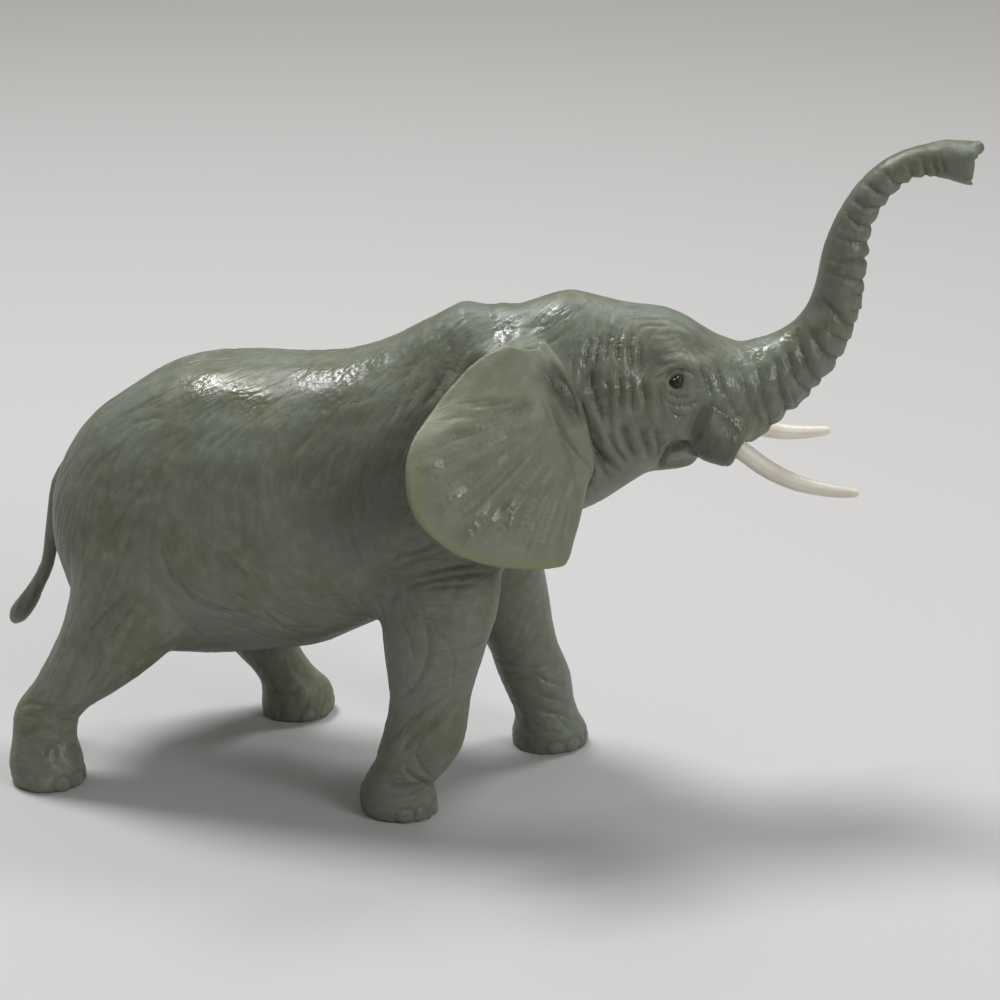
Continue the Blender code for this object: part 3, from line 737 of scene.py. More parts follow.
HEAD_FOLDS = (
    (2.5, 1.45, ((590, 362), (592, 384), (598, 405), (605, 423))),
    (2.3, 1.55, ((580, 389), (584, 409), (589, 430), (596, 451), (606, 464), (616, 471))),
    (1.8, 0.98, ((569, 398), (573, 416), (579, 434), (588, 452), (596, 466))),
    (1.6, 0.78, ((594, 453), (601, 465), (609, 478))),
    (1.7, 0.82, ((621, 424), (626, 441), (637, 460))),
    (1.6, 0.74, ((639, 426), (646, 446), (652, 460))),
    (1.3, 0.59, ((643, 383), (644, 392), (646, 400))),
    (1.4, 0.62, ((655, 426), (657, 438), (659, 459))),
    (1.3, 0.59, ((608, 430), (614, 446), (626, 464))),
    (1.3, 0.59, ((606, 376), (609, 394), (612, 412))),
    (1.2, 0.59, ((618, 372), (620, 392), (618, 410))),
    (1.2, 0.54, ((630, 374), (632, 394), (633, 414))),
    (1.1, 0.59, ((632, 330), (630, 352), (632, 370))),
    (0.9, 0.62, ((612, 326), (608, 346), (606, 362))),
    (0.9, 0.62, ((622, 328), (618, 348), (618, 364))),
    (0.9, 0.59, ((600, 336), (597, 352), (596, 366))),
    (0.9, 0.51, ((592, 338), (588, 352), (584, 366))),
    (0.9, 0.51, ((640, 336), (640, 352), (642, 370))),
    (2.3, 1.16, ((709, 402), (697, 420), (688, 442))),
    (1.8, 0.44, ((706, 398), (716, 408), (732, 420), (744, 436))),
    (0.9, 0.59, ((664, 378), (670, 374), (684, 371), (696, 376))),
    (0.9, 0.59, ((668, 392), (676, 396), (688, 395))),
    (1.1, 0.51, ((664, 398), (674, 405), (688, 405), (700, 398))),
    (0.8, 0.46, ((668, 406), (676, 415), (686, 414))),
    (1.2, 1.16, ((690, 443), (676, 448), (666, 456), (660, 468))),
    (1.3, 1.72, ((680, 442), (688, 448), (696, 456), (702, 464))),
    (1.5, 0.86, ((664, 452), (672, 445), (682, 442))),
    (1.1, 0.51, ((700, 366), (706, 378), (712, 396))),
    (0.9, 0.46, ((716, 362), (721, 382), (726, 398))),
    (0.9, 0.44, ((728, 396), (734, 408), (742, 420))),
)

# Where the trunk starts: a way through the head, and how far along it in millimetres
TRUNK_WAY = 0.94, 0.25, 0.24
TRUNK_START = 86
# How much painted shade darkens the whole trunk
TRUNK_PAINTED_SHADE = 0.2

# Grooves between the plates of the trunk, from its side to its underside
TRUNK_RINGS = (
    (1.5, 0.60, ((737, 358), (743, 379), (750, 400), (757, 418))),
    (1.5, 0.80, ((756, 352), (759, 376), (764, 396), (770, 416), (772, 427))),
    (1.5, 0.85, ((771, 347), (777, 370), (782, 393), (787, 413))),
    (0.9, 0.50, ((790, 385), (794, 396), (796, 404))),
    (1.5, 0.85, ((783, 340), (790, 361), (797, 381), (808, 391))),
    (1.5, 0.85, ((795, 330), (803, 353), (811, 371), (820, 381))),
    (1.4, 0.80, ((808, 323), (816, 341), (825, 355), (834, 358))),
    (1.0, 0.60, ((822, 325), (832, 334), (845, 341))),
    (1.3, 0.75, ((819, 294), (828, 305), (838, 316), (847, 324), (852, 326))),
    (0.9, 0.50, ((846, 306), (852, 310), (858, 311))),
    (0.9, 0.50, ((844, 291), (854, 294), (862, 295))),
    (1.3, 0.80, ((828, 272), (842, 277), (853, 280), (864, 280))),
    (1.2, 0.75, ((827, 258), (840, 261), (852, 261), (865, 260))),
    (1.2, 0.70, ((834, 236), (845, 240), (857, 243), (868, 243))),
    (1.2, 0.75, ((842, 208), (850, 219), (861, 226), (873, 227))),
    (1.2, 0.70, ((850, 198), (862, 206), (872, 209), (879, 208))),
    (1.2, 0.70, ((863, 181), (872, 188), (880, 194), (888, 196))),
    (1.1, 0.65, ((882, 170), (889, 177), (896, 184), (903, 186))),
    (1.0, 0.55, ((907, 161), (911, 172), (914, 181))),
    (0.9, 0.50, ((921, 154), (924, 167), (927, 178))),
    (0.8, 0.45, ((931, 152), (934, 165), (937, 175))),
    (0.7, 0.40, ((940, 151), (942, 161), (945, 171))),
)

# Round hollows, or swellings where the depth is negative: radius and depth in
# millimetres, marks, and the mirror plane if the far side gets them too
HOLLOWS = (
    (4.2, 0.8, ((646, 367), (661, 364)), HEAD_NORMAL),  # temple
    (2.2, -1.0, ((979, 147),)),  # finger at the trunk's tip
    (2.2, 0.5, ((973, 165),)),  # beside the trunk's lower lip
    (3.5, 0.5, ((819, 312),), HEAD_NORMAL),  # bend of the trunk
    (4.5, 0.5, ((698, 350),), HEAD_NORMAL),  # over the eye
    (2.4, -0.3, ((679, 382),), HEAD_NORMAL),  # lids
    (6, -0.7, ((714, 450), (718, 436)), HEAD_NORMAL),  # tusk sheath
)

# Short wrinkles: where, how many, length, width and depth in millimetres, and how far
# they stray from the lie in degrees
WRINKLES = (
    ("body", 300, (8, 24), 1.1, 0.22, 5),
    ("head", 180, (5, 16), 1.0, 0.20, 5),
    ("body and head", 3000, (5, 15), 0.65, 0.14, 6),
    ("body and head", 3600, (2, 7), 0.52, 0.10, 9),
    ("trunk", 300, (1.5, 5), 0.5, 0.08, 12),
    ("legs", 700, (2, 6), 0.55, 0.08, 80),
)
# Pale lines, no grooves: partly paler olive lines of the hide, partly painted highlight where
# they catch the light
HAIRLINES = 1300, (4, 13), 0.42, 1.0, 5
LEG_TOP = 40 * MM

# Soft lumps: size and height in millimetres
FIGURE_LUMPS = 14, 0.13
EAR_LUMPS = 9, 0.07

# Glossy patches: mark, radius in millimetres and strength
BODY_SHINE = (
    (180, 362, 5, 0.8), (205, 385, 6, 1.0), (235, 395, 5, 1.0), (255, 400, 4, 0.9),
    (315, 375, 6, 1.0), (345, 370, 6, 1.0), (375, 360, 5, 0.9), (410, 348, 5, 0.8),
    (440, 340, 4, 0.8), (330, 400, 5, 0.8), (300, 420, 5, 0.5), (430, 780, 5, 0.8),
    (400, 795, 6, 0.7), (545, 690, 4, 0.5), (470, 560, 4, 0.3), (60, 755, 4, 0.5),
)
HEAD_SHINE = (
    (505, 328, 4, 1.0), (556, 322, 5, 0.9), (587, 350, 4, 0.9), (598, 345, 4, 0.9),
    (620, 345, 4, 0.9), (628, 352, 3, 0.8), (585, 368, 3, 1.0), (602, 392, 4, 0.9),
    (622, 388, 4, 0.9), (634, 385, 4, 0.9), (700, 388, 5, 0.9), (716, 384, 5, 1.0),
    (712, 398, 4, 1.0), (735, 372, 5, 0.9), (728, 405, 4, 0.9), (740, 425, 5, 0.8),
    (676, 413, 2.5, 1.0), (757, 352, 4, 0.9), (770, 370, 5, 0.9), (790, 336, 4, 0.9),
    (800, 352, 4, 0.6), (758, 395, 5, 0.6), (825, 330, 4, 0.6), (833, 235, 3, 0.8),
    (843, 216, 3, 0.9), (860, 244, 3, 0.5), (880, 170, 4, 0.5), (935, 158, 3, 0.5),
    (560, 396, 3, 0.6), (596, 455, 3, 0.5),
)

EAR_SHINE = (
    (427, 467, 2.5, 0.9), (436, 464, 2.5, 0.9), (433, 477, 2, 0.6), (443, 510, 2.5, 0.9),
    (452, 503, 2.5, 0.9), (461, 497, 2.5, 0.8), (469, 538, 3, 1.0), (477, 529, 3, 1.0),
    (485, 520, 3, 1.0), (492, 512, 2.5, 0.8), (509, 526, 2.5, 0.9), (513, 513, 2.5, 0.9),
    (500, 455, 2, 0.4), (482, 429, 2, 0.5),
)
TAIL_SHINE = (20, 600, 2, 0.8), (30, 590, 2, 0.6)

# Painted shade where the ear shades the flank, under the tusk sheath and in hollows: mark,
# radius in millimetres and strength
BODY_PAINTED_SHADE = (
    (352, 455, 17, 0.55), (352, 500, 15, 0.5), (330, 430, 14, 0.4), (391, 577, 6, 0.6),
    (420, 420, 9, 0.4),
)
HEAD_PAINTED_SHADE = (
    (718, 448, 7, 1.0), (706, 424, 6, 0.6), (676, 450, 5, 0.7), (600, 400, 6, 0.3),
    (652, 362, 5, 0.4),
)
EAR_PAINTED_SHADE = (
    (548, 378, 4, 0.8), (559, 386, 4.5, 1.0), (569, 398, 4.5, 1.0), (576, 413, 3.5, 0.9),
)

# An ear's root in the head's frame in millimetres, and how far it is swelled
EAR_ROOT = (
    (8.25, 10.5, 95.9), (11.2, 13.0, 92.6), (13.9, 14.6, 87.3),
    (16.2, 14.7, 79.4), (17.0, 13.6, 72.8), (15.0, 11.5, 66.7),
)
EAR_ROOT_SINK = 0.5
COLLAR_STEP = 0.6 * MM
COLLAR_RADIUS = 1.5 * MM

# Marks along an ear's top, where flesh fills the slot behind it, and the flesh's balls
EAR_TOP_MARKS = (
    (504, 354), (514, 355), (524, 356), (534, 357), (544, 360), (553, 368), (561, 378),
    (568, 390), (574, 404), (579, 418), (584, 432), (588, 447),
)
FLESH_RADIUS = 5 * MM
FLESH_BACK = 0.1 * MM

# Flutes that fan over an ear from its root to its rim: number, width and depth in
# millimetres and painted shade in them
EAR_ROOT_MARKS = ((548, 392), (556, 408), (564, 426), (573, 444), (583, 462))
EAR_RIM_MARKS = (
    (444, 402), (432, 428), (420, 455), (414, 482), (420, 512), (434, 538), (455, 553),
    (480, 562), (505, 566), (530, 568), (550, 567), (570, 561),
)
FLUTES = 52
FLUTE_WIDTHS = 1.0, 2.4
FLUTE_DEEPS = 0.10, 0.30
FLUTE_SHADE = 0.3

# Olive rim of an ear, paler towards its top, and the whole ear made paler, painted light for the
# brighter light that falls on it
RIM_REACH = 2.6 * MM
EAR_PAINTED_LIGHT = 0.6

# Folds of an ear, or ridges where the depth is negative: width and depth in
# millimetres, painted shade and marks
EAR_FOLDS = (
    (3.2, 0.75, 0.8, ((536, 372), (551, 379), (565, 391), (573, 406), (580, 422))),
    (2.4, 0.60, 0.9, ((552, 384), (566, 396), (574, 412))),
    (1.3, -0.40, 0.0, ((541, 394), (550, 411), (556, 428), (562, 438), (576, 456), (590, 476))),
    (1.5, 0.50, 0.8, ((548, 398), (558, 420), (568, 439), (583, 459), (595, 477))),
    (1.8, 0.35, 0.5, ((556, 424), (566, 450), (574, 470), (578, 490))),
    (2.0, -0.35, 0.0, ((438, 463), (431, 466), (424, 468))),
    (2.2, -0.40, 0.0, ((464, 495), (453, 502), (442, 511))),
    (3.0, -0.50, 0.0, ((493, 511), (481, 525), (467, 541))),
    (2.6, -0.45, 0.0, ((517, 501), (512, 514), (507, 530))),
)
TAIL_FOLDS = (
    (0.7, 0.18, ((32, 582), (24, 598), (16, 613))),
    (0.7, 0.20, ((41, 578), (35, 596), (25, 616))),
    (0.7, 0.18, ((49, 570), (44, 588), (34, 606))),
    (0.6, 0.12, ((48, 530), (50, 550), (47, 566))),
)
# Painted shade darkening the folds of the body, the head and the tail
BODY_FOLD_SHADE = 0.4
HEAD_FOLD_SHADE = 0.9
TAIL_FOLD_SHADE = 0.6

# Spots that are softened more: mark, reach in millimetres and rounds
SOFT_SPOTS = (
    (716, 430, 6, 30), (512, 342, 7, 14), (540, 345, 8, 14), (565, 368, 8, 14),
    (584, 425, 8, 10),
)

# How far the left fore leg's back is drawn in, the nape's rim sinks and its bead rises
LEG_DRAW = 2 * MM
RIM_SINK = 1.0 * MM
BEAD_RISE = 0.14 * MM
BEAD_WIDTH = 0.5 * MM


def slim_leg(piece):
    """Draw in the back of the left fore leg, which the picture shows slimmer."""
    points = get_points(piece.data)
    x, y, z = points.T / MM
    leg_back = 13.4 - 0.33 * z
    back = fall(x, end=leg_back, run=7) * rise(y, start=6, run=3)
    height = rise(z, start=3, run=6) * fall(z, end=32, run=12)
    points[:, 0] += LEG_DRAW * back * height * rise(x, start=-20, run=8)
    piece.data.vertices.foreach_set("co", points.ravel())


def soften_nape(piece):
    """Ease the body behind the nape seam, and the top of the nape until it is soft."""
    points = get_points(piece.data)
    ahead = past_nape(points) / MM
    ease(piece, BEHIND_NAPE_ROUNDS, fall(ahead, end=0, run=5)[:, None])
    nape = np.clip(1.4 - np.abs(ahead) / 4, 0, 1) * rise(points[:, 2] / MM, start=76, run=6)
    ease(piece, NAPE_ROUNDS, nape[:, None], SOFTEN)


def soften_spots(piece):
    """Soften the tusk sheaths and the skin round the tops of the ears."""
    soft = Skin(piece)
    for x, y, reach, rounds in SOFT_SPOTS:
        place = np.array([soft.seen_at(x, y)])
        for centre in np.vstack((place, far_side(place, HEAD_NORMAL))):
            gap = np.linalg.norm(get_points(piece.data) - centre, axis=1)
            share = np.clip(1.5 - gap / (reach * MM), 0, 1)[:, None]
            ease(piece, rounds, share, SOFTEN)


def figure_skin():
    """One skin over the body halves and the head, with their seams closed."""
    bm = solid_copy("body_left_half", "body_right_half")
    draw_out(bm, SEAM_NORMAL)
    for vertex in bm.verts:
        gap = vertex.co.y - NECK_AXIS.y
        if abs(gap) < SEAM_REACH:
            vertex.co.y = NECK_AXIS.y - math.copysign(SEAM_LAP, gap)
    bm.from_mesh(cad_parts["head_and_trunk"].data)
    roots = ear_roots()
    bm.from_mesh(roots.data)
    bpy.data.objects.remove(roots)
    bmesh.ops.remove_doubles(bm, verts=bm.verts, dist=MERGE_REACH)
    piece = fine_skin("figure", bm, FIGURE_VOXEL, FIGURE_ROUNDS)
    slim_leg(piece)
    soften_nape(piece)
    soften_spots(piece)
    finer = piece.modifiers.new("finer", "SUBSURF")
    finer.levels = 1
    finer.render_levels = 1
    settle(piece)
    return Skin(piece)


def ear_roots():
    """Balls of flesh behind the tops of both ears, just behind their outer faces."""
    tree = BVHTree.FromBMesh(solid_copy("right_ear"))
    balls = bmesh.new()
    for x, y in EAR_TOP_MARKS:
        place, normal = tree.ray_cast(*view_ray(x, y))[:2]
        if place is None:
            continue
        centre = np.array([place - normal * (FLESH_RADIUS + FLESH_BACK)])
        for ball in np.vstack((centre, far_side(centre, HEAD_NORMAL))):
            bmesh.ops.create_icosphere(
                balls, subdivisions=3, radius=FLESH_RADIUS,
                matrix=Matrix.Translation(Vector(ball)),
            )
    return new_piece("ear_roots", balls)


def ear_skin(name, side):
    """The skin over an ear, its root swelled to meet the head without a slot."""
    bm = solid_copy(name)
    root = [
        NECK_AXIS + HEAD_FRAME @ Vector((x, side * (y - EAR_ROOT_SINK), z)) * MM
        for x, y, z in EAR_ROOT
    ]
    for place in curve_through(root, COLLAR_STEP):
        bmesh.ops.create_icosphere(
            bm, subdivisions=2, radius=COLLAR_RADIUS, matrix=Matrix.Translation(Vector(place))
        )
    return Skin(fine_skin(name + "_skin", bm, EAR_VOXEL, EAR_ROUNDS))


def past_nape(points):
    """How far points lie past the nape seam, towards the trunk."""
    return (points - np.array(SEAM_POINT)) @ np.array(SEAM_NORMAL)


def weld_bead(skin):
    """Sink the body's rim at the nape seam, and raise a thin uneven bead over it."""
    gap = past_nape(skin.points)
    along, height = skin.points[:, 1] / MM, skin.points[:, 2] / MM
    uneven = 0.6 + 0.4 * np.sin(along * 1.9 + 1) * np.sin(along * 0.8)
    high = rise(height, start=84, run=6)
    rim = rise(gap / MM, start=-6, run=6) * fall(gap / MM, end=4.5, run=4.5)
    bead = np.exp(-((gap / BEAD_WIDTH) ** 2)) * high * uneven
    skin.depth += RIM_SINK * rim * rim * (3 - 2 * rim) * high
    skin.depth -= BEAD_RISE * bead
    np.maximum(skin.gloss, bead, out=skin.gloss)


def toenails(skin, rng, centre, facing, count):
    """Raise blunt, low and uneven nails round the front of a foot."""
    offset = skin.points - np.array((*centre, 0)) * MM
    gap = np.hypot(offset[:, 0], offset[:, 1])
    low = (gap < FOOT_REACH) & (skin.points[:, 2] < FOOT_HEIGHT)
    angle = np.degrees(np.arctan2(offset[:, 1], offset[:, 0])) - facing
    angle = (angle + 180) % 360 - 180
    for i in range(count):
        middle = (i - (count - 1) / 2) * NAILS_APART + rng.normal(0, 3)
        aside = np.radians(angle - middle) * gap / (rng.uniform(1.4, 1.8) * MM)
        lift = (skin.points[:, 2] - NAIL_HEIGHT) / (rng.uniform(1.4, 2.0) * MM)
        span = np.sqrt(aside**2 + lift**2)
        nail = np.clip(NAIL_EDGE - span**2, 0, 1) * low
        rim = np.exp(-(((span - NAIL_EDGE) / 0.25) ** 2)) * low
        skin.depth -= NAIL_RISE * nail
        skin.depth += NAIL_RIM_DEPTH * rim
        # painted shade in the groove round each nail
        np.maximum(skin.painted_shade, 0.6 * rim, out=skin.painted_shade)
        np.maximum(skin.gloss, 0.5 * nail, out=skin.gloss)


def carve_figure(skin, rng):
    """Carve the body, the head and the trunk."""
    fields = (BODY_LIE, BODY_NORMAL), (HEAD_LIE, HEAD_NORMAL)
    lie = Lie(skin, fields, BODY_CORES + HEAD_CORES, CORE_PULL)
    body = past_nape(skin.points) < 0
    trunk = skin.points @ np.array(TRUNK_WAY) > TRUNK_START * MM
    places = {
        "body": body, "head": ~body & ~trunk, "body and head": ~trunk, "trunk": trunk,
        "legs": skin.points[:, 2] < LEG_TOP,
    }
    lumps(skin, rng, *FIGURE_LUMPS)
    for width, deep, marks in BODY_FOLDS:
        fold(skin, width, deep, marks, BODY_NORMAL, BODY_FOLD_SHADE)
    for width, deep, marks in HEAD_FOLDS:
        fold(skin, width, deep, marks, HEAD_NORMAL, HEAD_FOLD_SHADE)
    for groove in TRUNK_RINGS:
        ring(skin, *groove)
    # painted shade: the whole trunk darkened, as its shaded sides are
    skin.painted_shade[trunk] += TRUNK_PAINTED_SHADE
    for centre, facing, count in FEET:
        toenails(skin, rng, centre, facing, count)
    for hollow in HOLLOWS:
        press_at(skin, *hollow)
    for where, *wrinkles in WRINKLES:
        wrinkle(skin, lie, rng, *wrinkles, where=places[where])
    # partly paler olive lines, partly painted highlight along them
    wrinkle(skin, lie, rng, *HAIRLINES, layer=skin.streak)
    dab(skin, skin.gloss, BODY_SHINE, BODY_NORMAL)
    dab(skin, skin.gloss, HEAD_SHINE, HEAD_NORMAL)
    # painted shade: dark patches where the ear shades the flank, under the sheath and in hollows
    dab(skin, skin.painted_shade, BODY_PAINTED_SHADE, BODY_NORMAL)
    dab(skin, skin.painted_shade, HEAD_PAINTED_SHADE + EAR_PAINTED_SHADE, HEAD_NORMAL)
    weld_bead(skin)
    skin.comb(lie, rng, BODY_COMB, np.where(trunk, TRUNK_COMB_STRENGTH, 1))
    skin.finish()


def mark_along(marks, share):
    """The place at a share of the way along a row of marks."""
    marks = np.array(marks)
    place = share * (len(marks) - 1)
    return np.array([np.interp(place, range(len(marks)), column) for column in marks.T])


def flutes(rng):
    """Flutes of many lengths that fan over an ear, as its folds are given."""
    for i in range(FLUTES):
        share = (i + rng.uniform(0, 0.9)) / FLUTES
        root = mark_along(EAR_ROOT_MARKS, share)
        run = mark_along(EAR_RIM_MARKS, share) - root
        start = rng.uniform(0.1, 0.55)
        end = rng.uniform(start + 0.3, 0.96)
        middle = root + run * (start + end) / 2 + rng.normal(0, 2, 2)
        marks = root + run * start, middle, root + run * end
        yield rng.uniform(*FLUTE_WIDTHS), rng.uniform(*FLUTE_DEEPS), FLUTE_SHADE, marks


def carve_ears(right, left, rng):
    """Press the flutes and the folds of both ears with painted shade, tint their rims, and make
    the ears paler as painted light.
    """
    lumps(right, rng, *EAR_LUMPS)
    lumps(left, rng, *EAR_LUMPS)
    for width, deep, dark, marks in (*flutes(rng), *EAR_FOLDS):
        line = right.line_at(marks)
        if line is not None:
            press_line(right, line, width, deep, dark)
            press_line(left, far_side(line, HEAD_NORMAL), width, deep, dark)
    edge = right.line_at(EAR_RIM_MARKS)
    for skin, line in ((right, edge), (left, far_side(edge, HEAD_NORMAL))):
        low = np.clip((96 * MM - line[:, 2]) / (30 * MM), 0.2, 1)
        skin.groove(line, np.full(len(line), RIM_REACH), low, skin.olive)
        # painted light: the whole ear made paler, as the brighter light that falls on it
        skin.streak += EAR_PAINTED_LIGHT
    dab(right, right.gloss, EAR_SHINE)
    # painted shade in the hollow behind the ear's fold
    dab(right, right.painted_shade, EAR_PAINTED_SHADE)
    lie = Lie(right, ((EAR_LIE, HEAD_NORMAL),), HEAD_CORES, 0)
    for skin in (right, left):
        skin.comb(lie, rng, SMALL_COMB, EAR_COMB_STRENGTH)
        skin.finish()


# Sizes of the patterns in millimetres: clouds of olive bloom, pale specks, the grain of
# the tool, crinkles in the gloss, hairs of the tool's polish with their spacing, clouds
# and grain in the ivory, pools in the paint, and tones of the floor
BLOOM_SIZE = 13.33
SPECK_SIZE = 2.381
GRAIN_SIZE = 0.4545
CRINKLE_SIZE = 1.111
HAIR_LENGTH = 11
HAIR_SPACING = 1.7
IVORY_CLOUD_SIZE = 6.25
IVORY_GRAIN_SIZE = 0.7143
POOL_SIZE = 1.111
FLOOR_TONE_SIZE = 333.3
PVC_IOR = 1.52


def linear(colour):
    """An sRGB hex colour as linear numbers with alpha."""
    parts = [int(colour[i : i + 2], 16) / 255 for i in (1, 3, 5)]
    return (*[p / 12.92 if p <= 0.04045 else ((p + 0.055) / 1.055) ** 2.4 for p in parts], 1)


def add(material, kind, settings=None, inputs=None):
    """Add one node with its settings, its values and its links."""
    tree = material.node_tree
    made = tree.nodes.new(kind)
    for name, value in (settings or {}).items():
        setattr(made, name, value)
    for name, value in (inputs or {}).items():
        if isinstance(value, bpy.types.NodeSocket):
            tree.links.new(value, made.inputs[name])
        else:
            made.inputs[name].default_value = value
    return made


def new_material(name):
    """A material with an empty node tree but for its output and shader."""
    material = bpy.data.materials.new(name)
    material.use_nodes = True
    return material, material.node_tree.nodes["Principled BSDF"]


def combed(material, name):
    """Thin grooves along one layer of combed patches: 1 on the skin, 0 in a groove."""
    run = add(material, "ShaderNodeAttribute", {"attribute_name": name}).outputs["Vector"]
    sure = add(material, "ShaderNodeAttribute", {"attribute_name": name + "_weight"})
    scales = 1 / (HAIR_LENGTH * MM), 1 / (HAIR_SPACING * MM), 1 / MM
    place = add(
        material, "ShaderNodeVectorMath", {"operation": "MULTIPLY"}, {0: run, 1: scales}
    )
    noise = add(
        material, "ShaderNodeTexNoise", None,
        {"Vector": place.outputs[0], "Scale": 1, "Detail": 1.2, "Roughness": 0.5},
    )
    gap = add(
        material, "ShaderNodeMath", {"operation": "SUBTRACT"}, {0: noise.outputs["Fac"], 1: 0.5}
    )
    gap = add(material, "ShaderNodeMath", {"operation": "ABSOLUTE"}, {0: gap.outputs[0]})
    line = add(
        material, "ShaderNodeMapRange", None, {"Value": gap.outputs[0], 2: 0.035, 3: 1, 4: 0}
    )
    kept = add(
        material, "ShaderNodeMath", {"operation": "MULTIPLY"},
        {0: line.outputs[0], 1: sure.outputs["Fac"]},
    )
    return add(
        material, "ShaderNodeMath", {"operation": "SUBTRACT"}, {0: 1, 1: kept.outputs[0]}
    ).outputs[0]


def grey_pvc():
    """Soft PVC, moulded in grey-green: satin, with glossy spots where the tool was
    polished, an olive bloom in patches, painted shade in its creases and hollows and
    painted highlights on fine lines and over the ears."""
    material, shader = new_material("grey_soft_pvc_moulded_satin")
    place = add(material, "ShaderNodeTexCoord").outputs["Object"]
    broad, small, grain = (
        add(
            material, "ShaderNodeTexNoise", None,
            {"Vector": place, "Scale": 1 / (size * MM), "Detail": detail},
        ).outputs["Fac"]
        for size, detail in ((BLOOM_SIZE, 3), (SPECK_SIZE, 4), (GRAIN_SIZE, 3))
    )
    painted_shade, streak, gloss, olive = (
        add(material, "ShaderNodeAttribute", {"attribute_name": name}).outputs["Fac"]
        for name in ("painted_shade", "streak", "gloss", "olive")
    )
    lines = add(
        material, "ShaderNodeMath", {"operation": "MULTIPLY"},
        {0: combed(material, "first_comb"), 1: combed(material, "second_comb")},
    ).outputs[0]
    # the polish lines are painted a little paler, as highlights on them
    patch, speck, line_highlight, satin, shiny = (
        add(
            material, "ShaderNodeMapRange", None,
            {"Value": value, 1: low, 2: high, 3: to_low, 4: to_high},
        ).outputs[0]
        for value, low, high, to_low, to_high in (
            (broad, 0.42, 0.62, 0, 1), (small, 0.45, 0.7, 0, 0.5), (lines, 0, 1, 0.12, 0),
            (small, 0.3, 0.7, 0.42, 0.56), (grain, 0.35, 0.65, 0.16, 0.34),
        )
    )
    # painted highlight from the streak layer, the ears' olive rim tint, and painted shade
    painted_highlight, rim_tint, dark = (
        add(
            material, "ShaderNodeMath", {"operation": "MULTIPLY"}, {0: layer, 1: strength}
        ).outputs[0]
        for layer, strength in ((streak, 0.55), (olive, 0.8), (painted_shade, 0.75))
    )
    # grey-green, with olive patches, pale specks, painted highlights on fine lines and over
    # the ears, an olive tint on the ears' rims, painted shade in folds, creases and hollows,
    # and the tool's polish lines painted paler as highlights
    colour = linear("#6a7064")
    for share, tone in (
        (patch, "#626650"), (speck, "#7c8272"), (painted_highlight, "#868b6e"), (rim_tint, "#7b8056"),
        (dark, "#434739"), (line_highlight, "#858b78"),
    ):
        colour = add(
            material, "ShaderNodeMix", {"data_type": "RGBA"},
            {0: share, 6: colour, 7: linear(tone)},
        ).outputs[2]
    rough = add(
        material, "ShaderNodeMix", {"data_type": "FLOAT"}, {0: gloss, 2: satin, 3: shiny}
    )
    # the gloss is crinkled, the skin has a fine grain, and the hairs are shallow
    crinkle = add(
        material, "ShaderNodeTexVoronoi", {"feature": "SMOOTH_F1"},
        {"Vector": place, "Scale": 1 / (CRINKLE_SIZE * MM), "Smoothness": 0.6},
    )
    crinkled = add(
        material, "ShaderNodeMath", {"operation": "MULTIPLY"},
        {0: crinkle.outputs["Distance"], 1: gloss},
    )
    height = add(
        material, "ShaderNodeMath", {"operation": "MULTIPLY_ADD"},
        {0: crinkled.outputs[0], 1: 4.0, 2: grain},
    )
    rough_skin = add(
        material, "ShaderNodeBump", None,
        {"Strength": 0.7, "Distance": 0.05 * MM, "Height": height.outputs[0]},
    )
    lined_skin = add(
        material, "ShaderNodeBump", None,
        {
            "Strength": 1.0, "Distance": 0.03 * MM, "Height": lines,
            "Normal": rough_skin.outputs[0],
        },
    )
    material.node_tree.links.new(colour, shader.inputs["Base Color"])
    material.node_tree.links.new(rough.outputs[0], shader.inputs["Roughness"])
    material.node_tree.links.new(lined_skin.outputs[0], shader.inputs["Normal"])
    shader.inputs["IOR"].default_value = PVC_IOR
    return material


def ivory_pvc():
    """Harder PVC, moulded in ivory: smooth satin with a faint warmer cloud."""
    material, shader = new_material("ivory_pvc_moulded_satin")
    place = add(material, "ShaderNodeTexCoord").outputs["Object"]
    cloud, grain = (
        add(
            material, "ShaderNodeTexNoise", None,
            {"Vector": place, "Scale": 1 / (size * MM), "Detail": detail},
        ).outputs["Fac"]
        for size, detail in ((IVORY_CLOUD_SIZE, 3), (IVORY_GRAIN_SIZE, 2))
    )
    warm = add(material, "ShaderNodeMapRange", None, {"Value": cloud, 1: 0.4, 2: 0.65})
    colour = add(
        material, "ShaderNodeMix", {"data_type": "RGBA"},
        {0: warm.outputs[0], 6: linear("#e2ddcf"), 7: linear("#d8d0bb")},
    )
    rough = add(
        material, "ShaderNodeMapRange", None, {"Value": grain, 1: 0.3, 2: 0.7, 3: 0.34, 4: 0.46}
    )
    bump = add(
        material, "ShaderNodeBump", None,
        {"Strength": 0.4, "Distance": 0.03 * MM, "Height": grain},
    )
    material.node_tree.links.new(colour.outputs[2], shader.inputs["Base Color"])
    material.node_tree.links.new(rough.outputs[0], shader.inputs["Roughness"])
    material.node_tree.links.new(bump.outputs[0], shader.inputs["Normal"])
    shader.inputs["IOR"].default_value = PVC_IOR
    return material


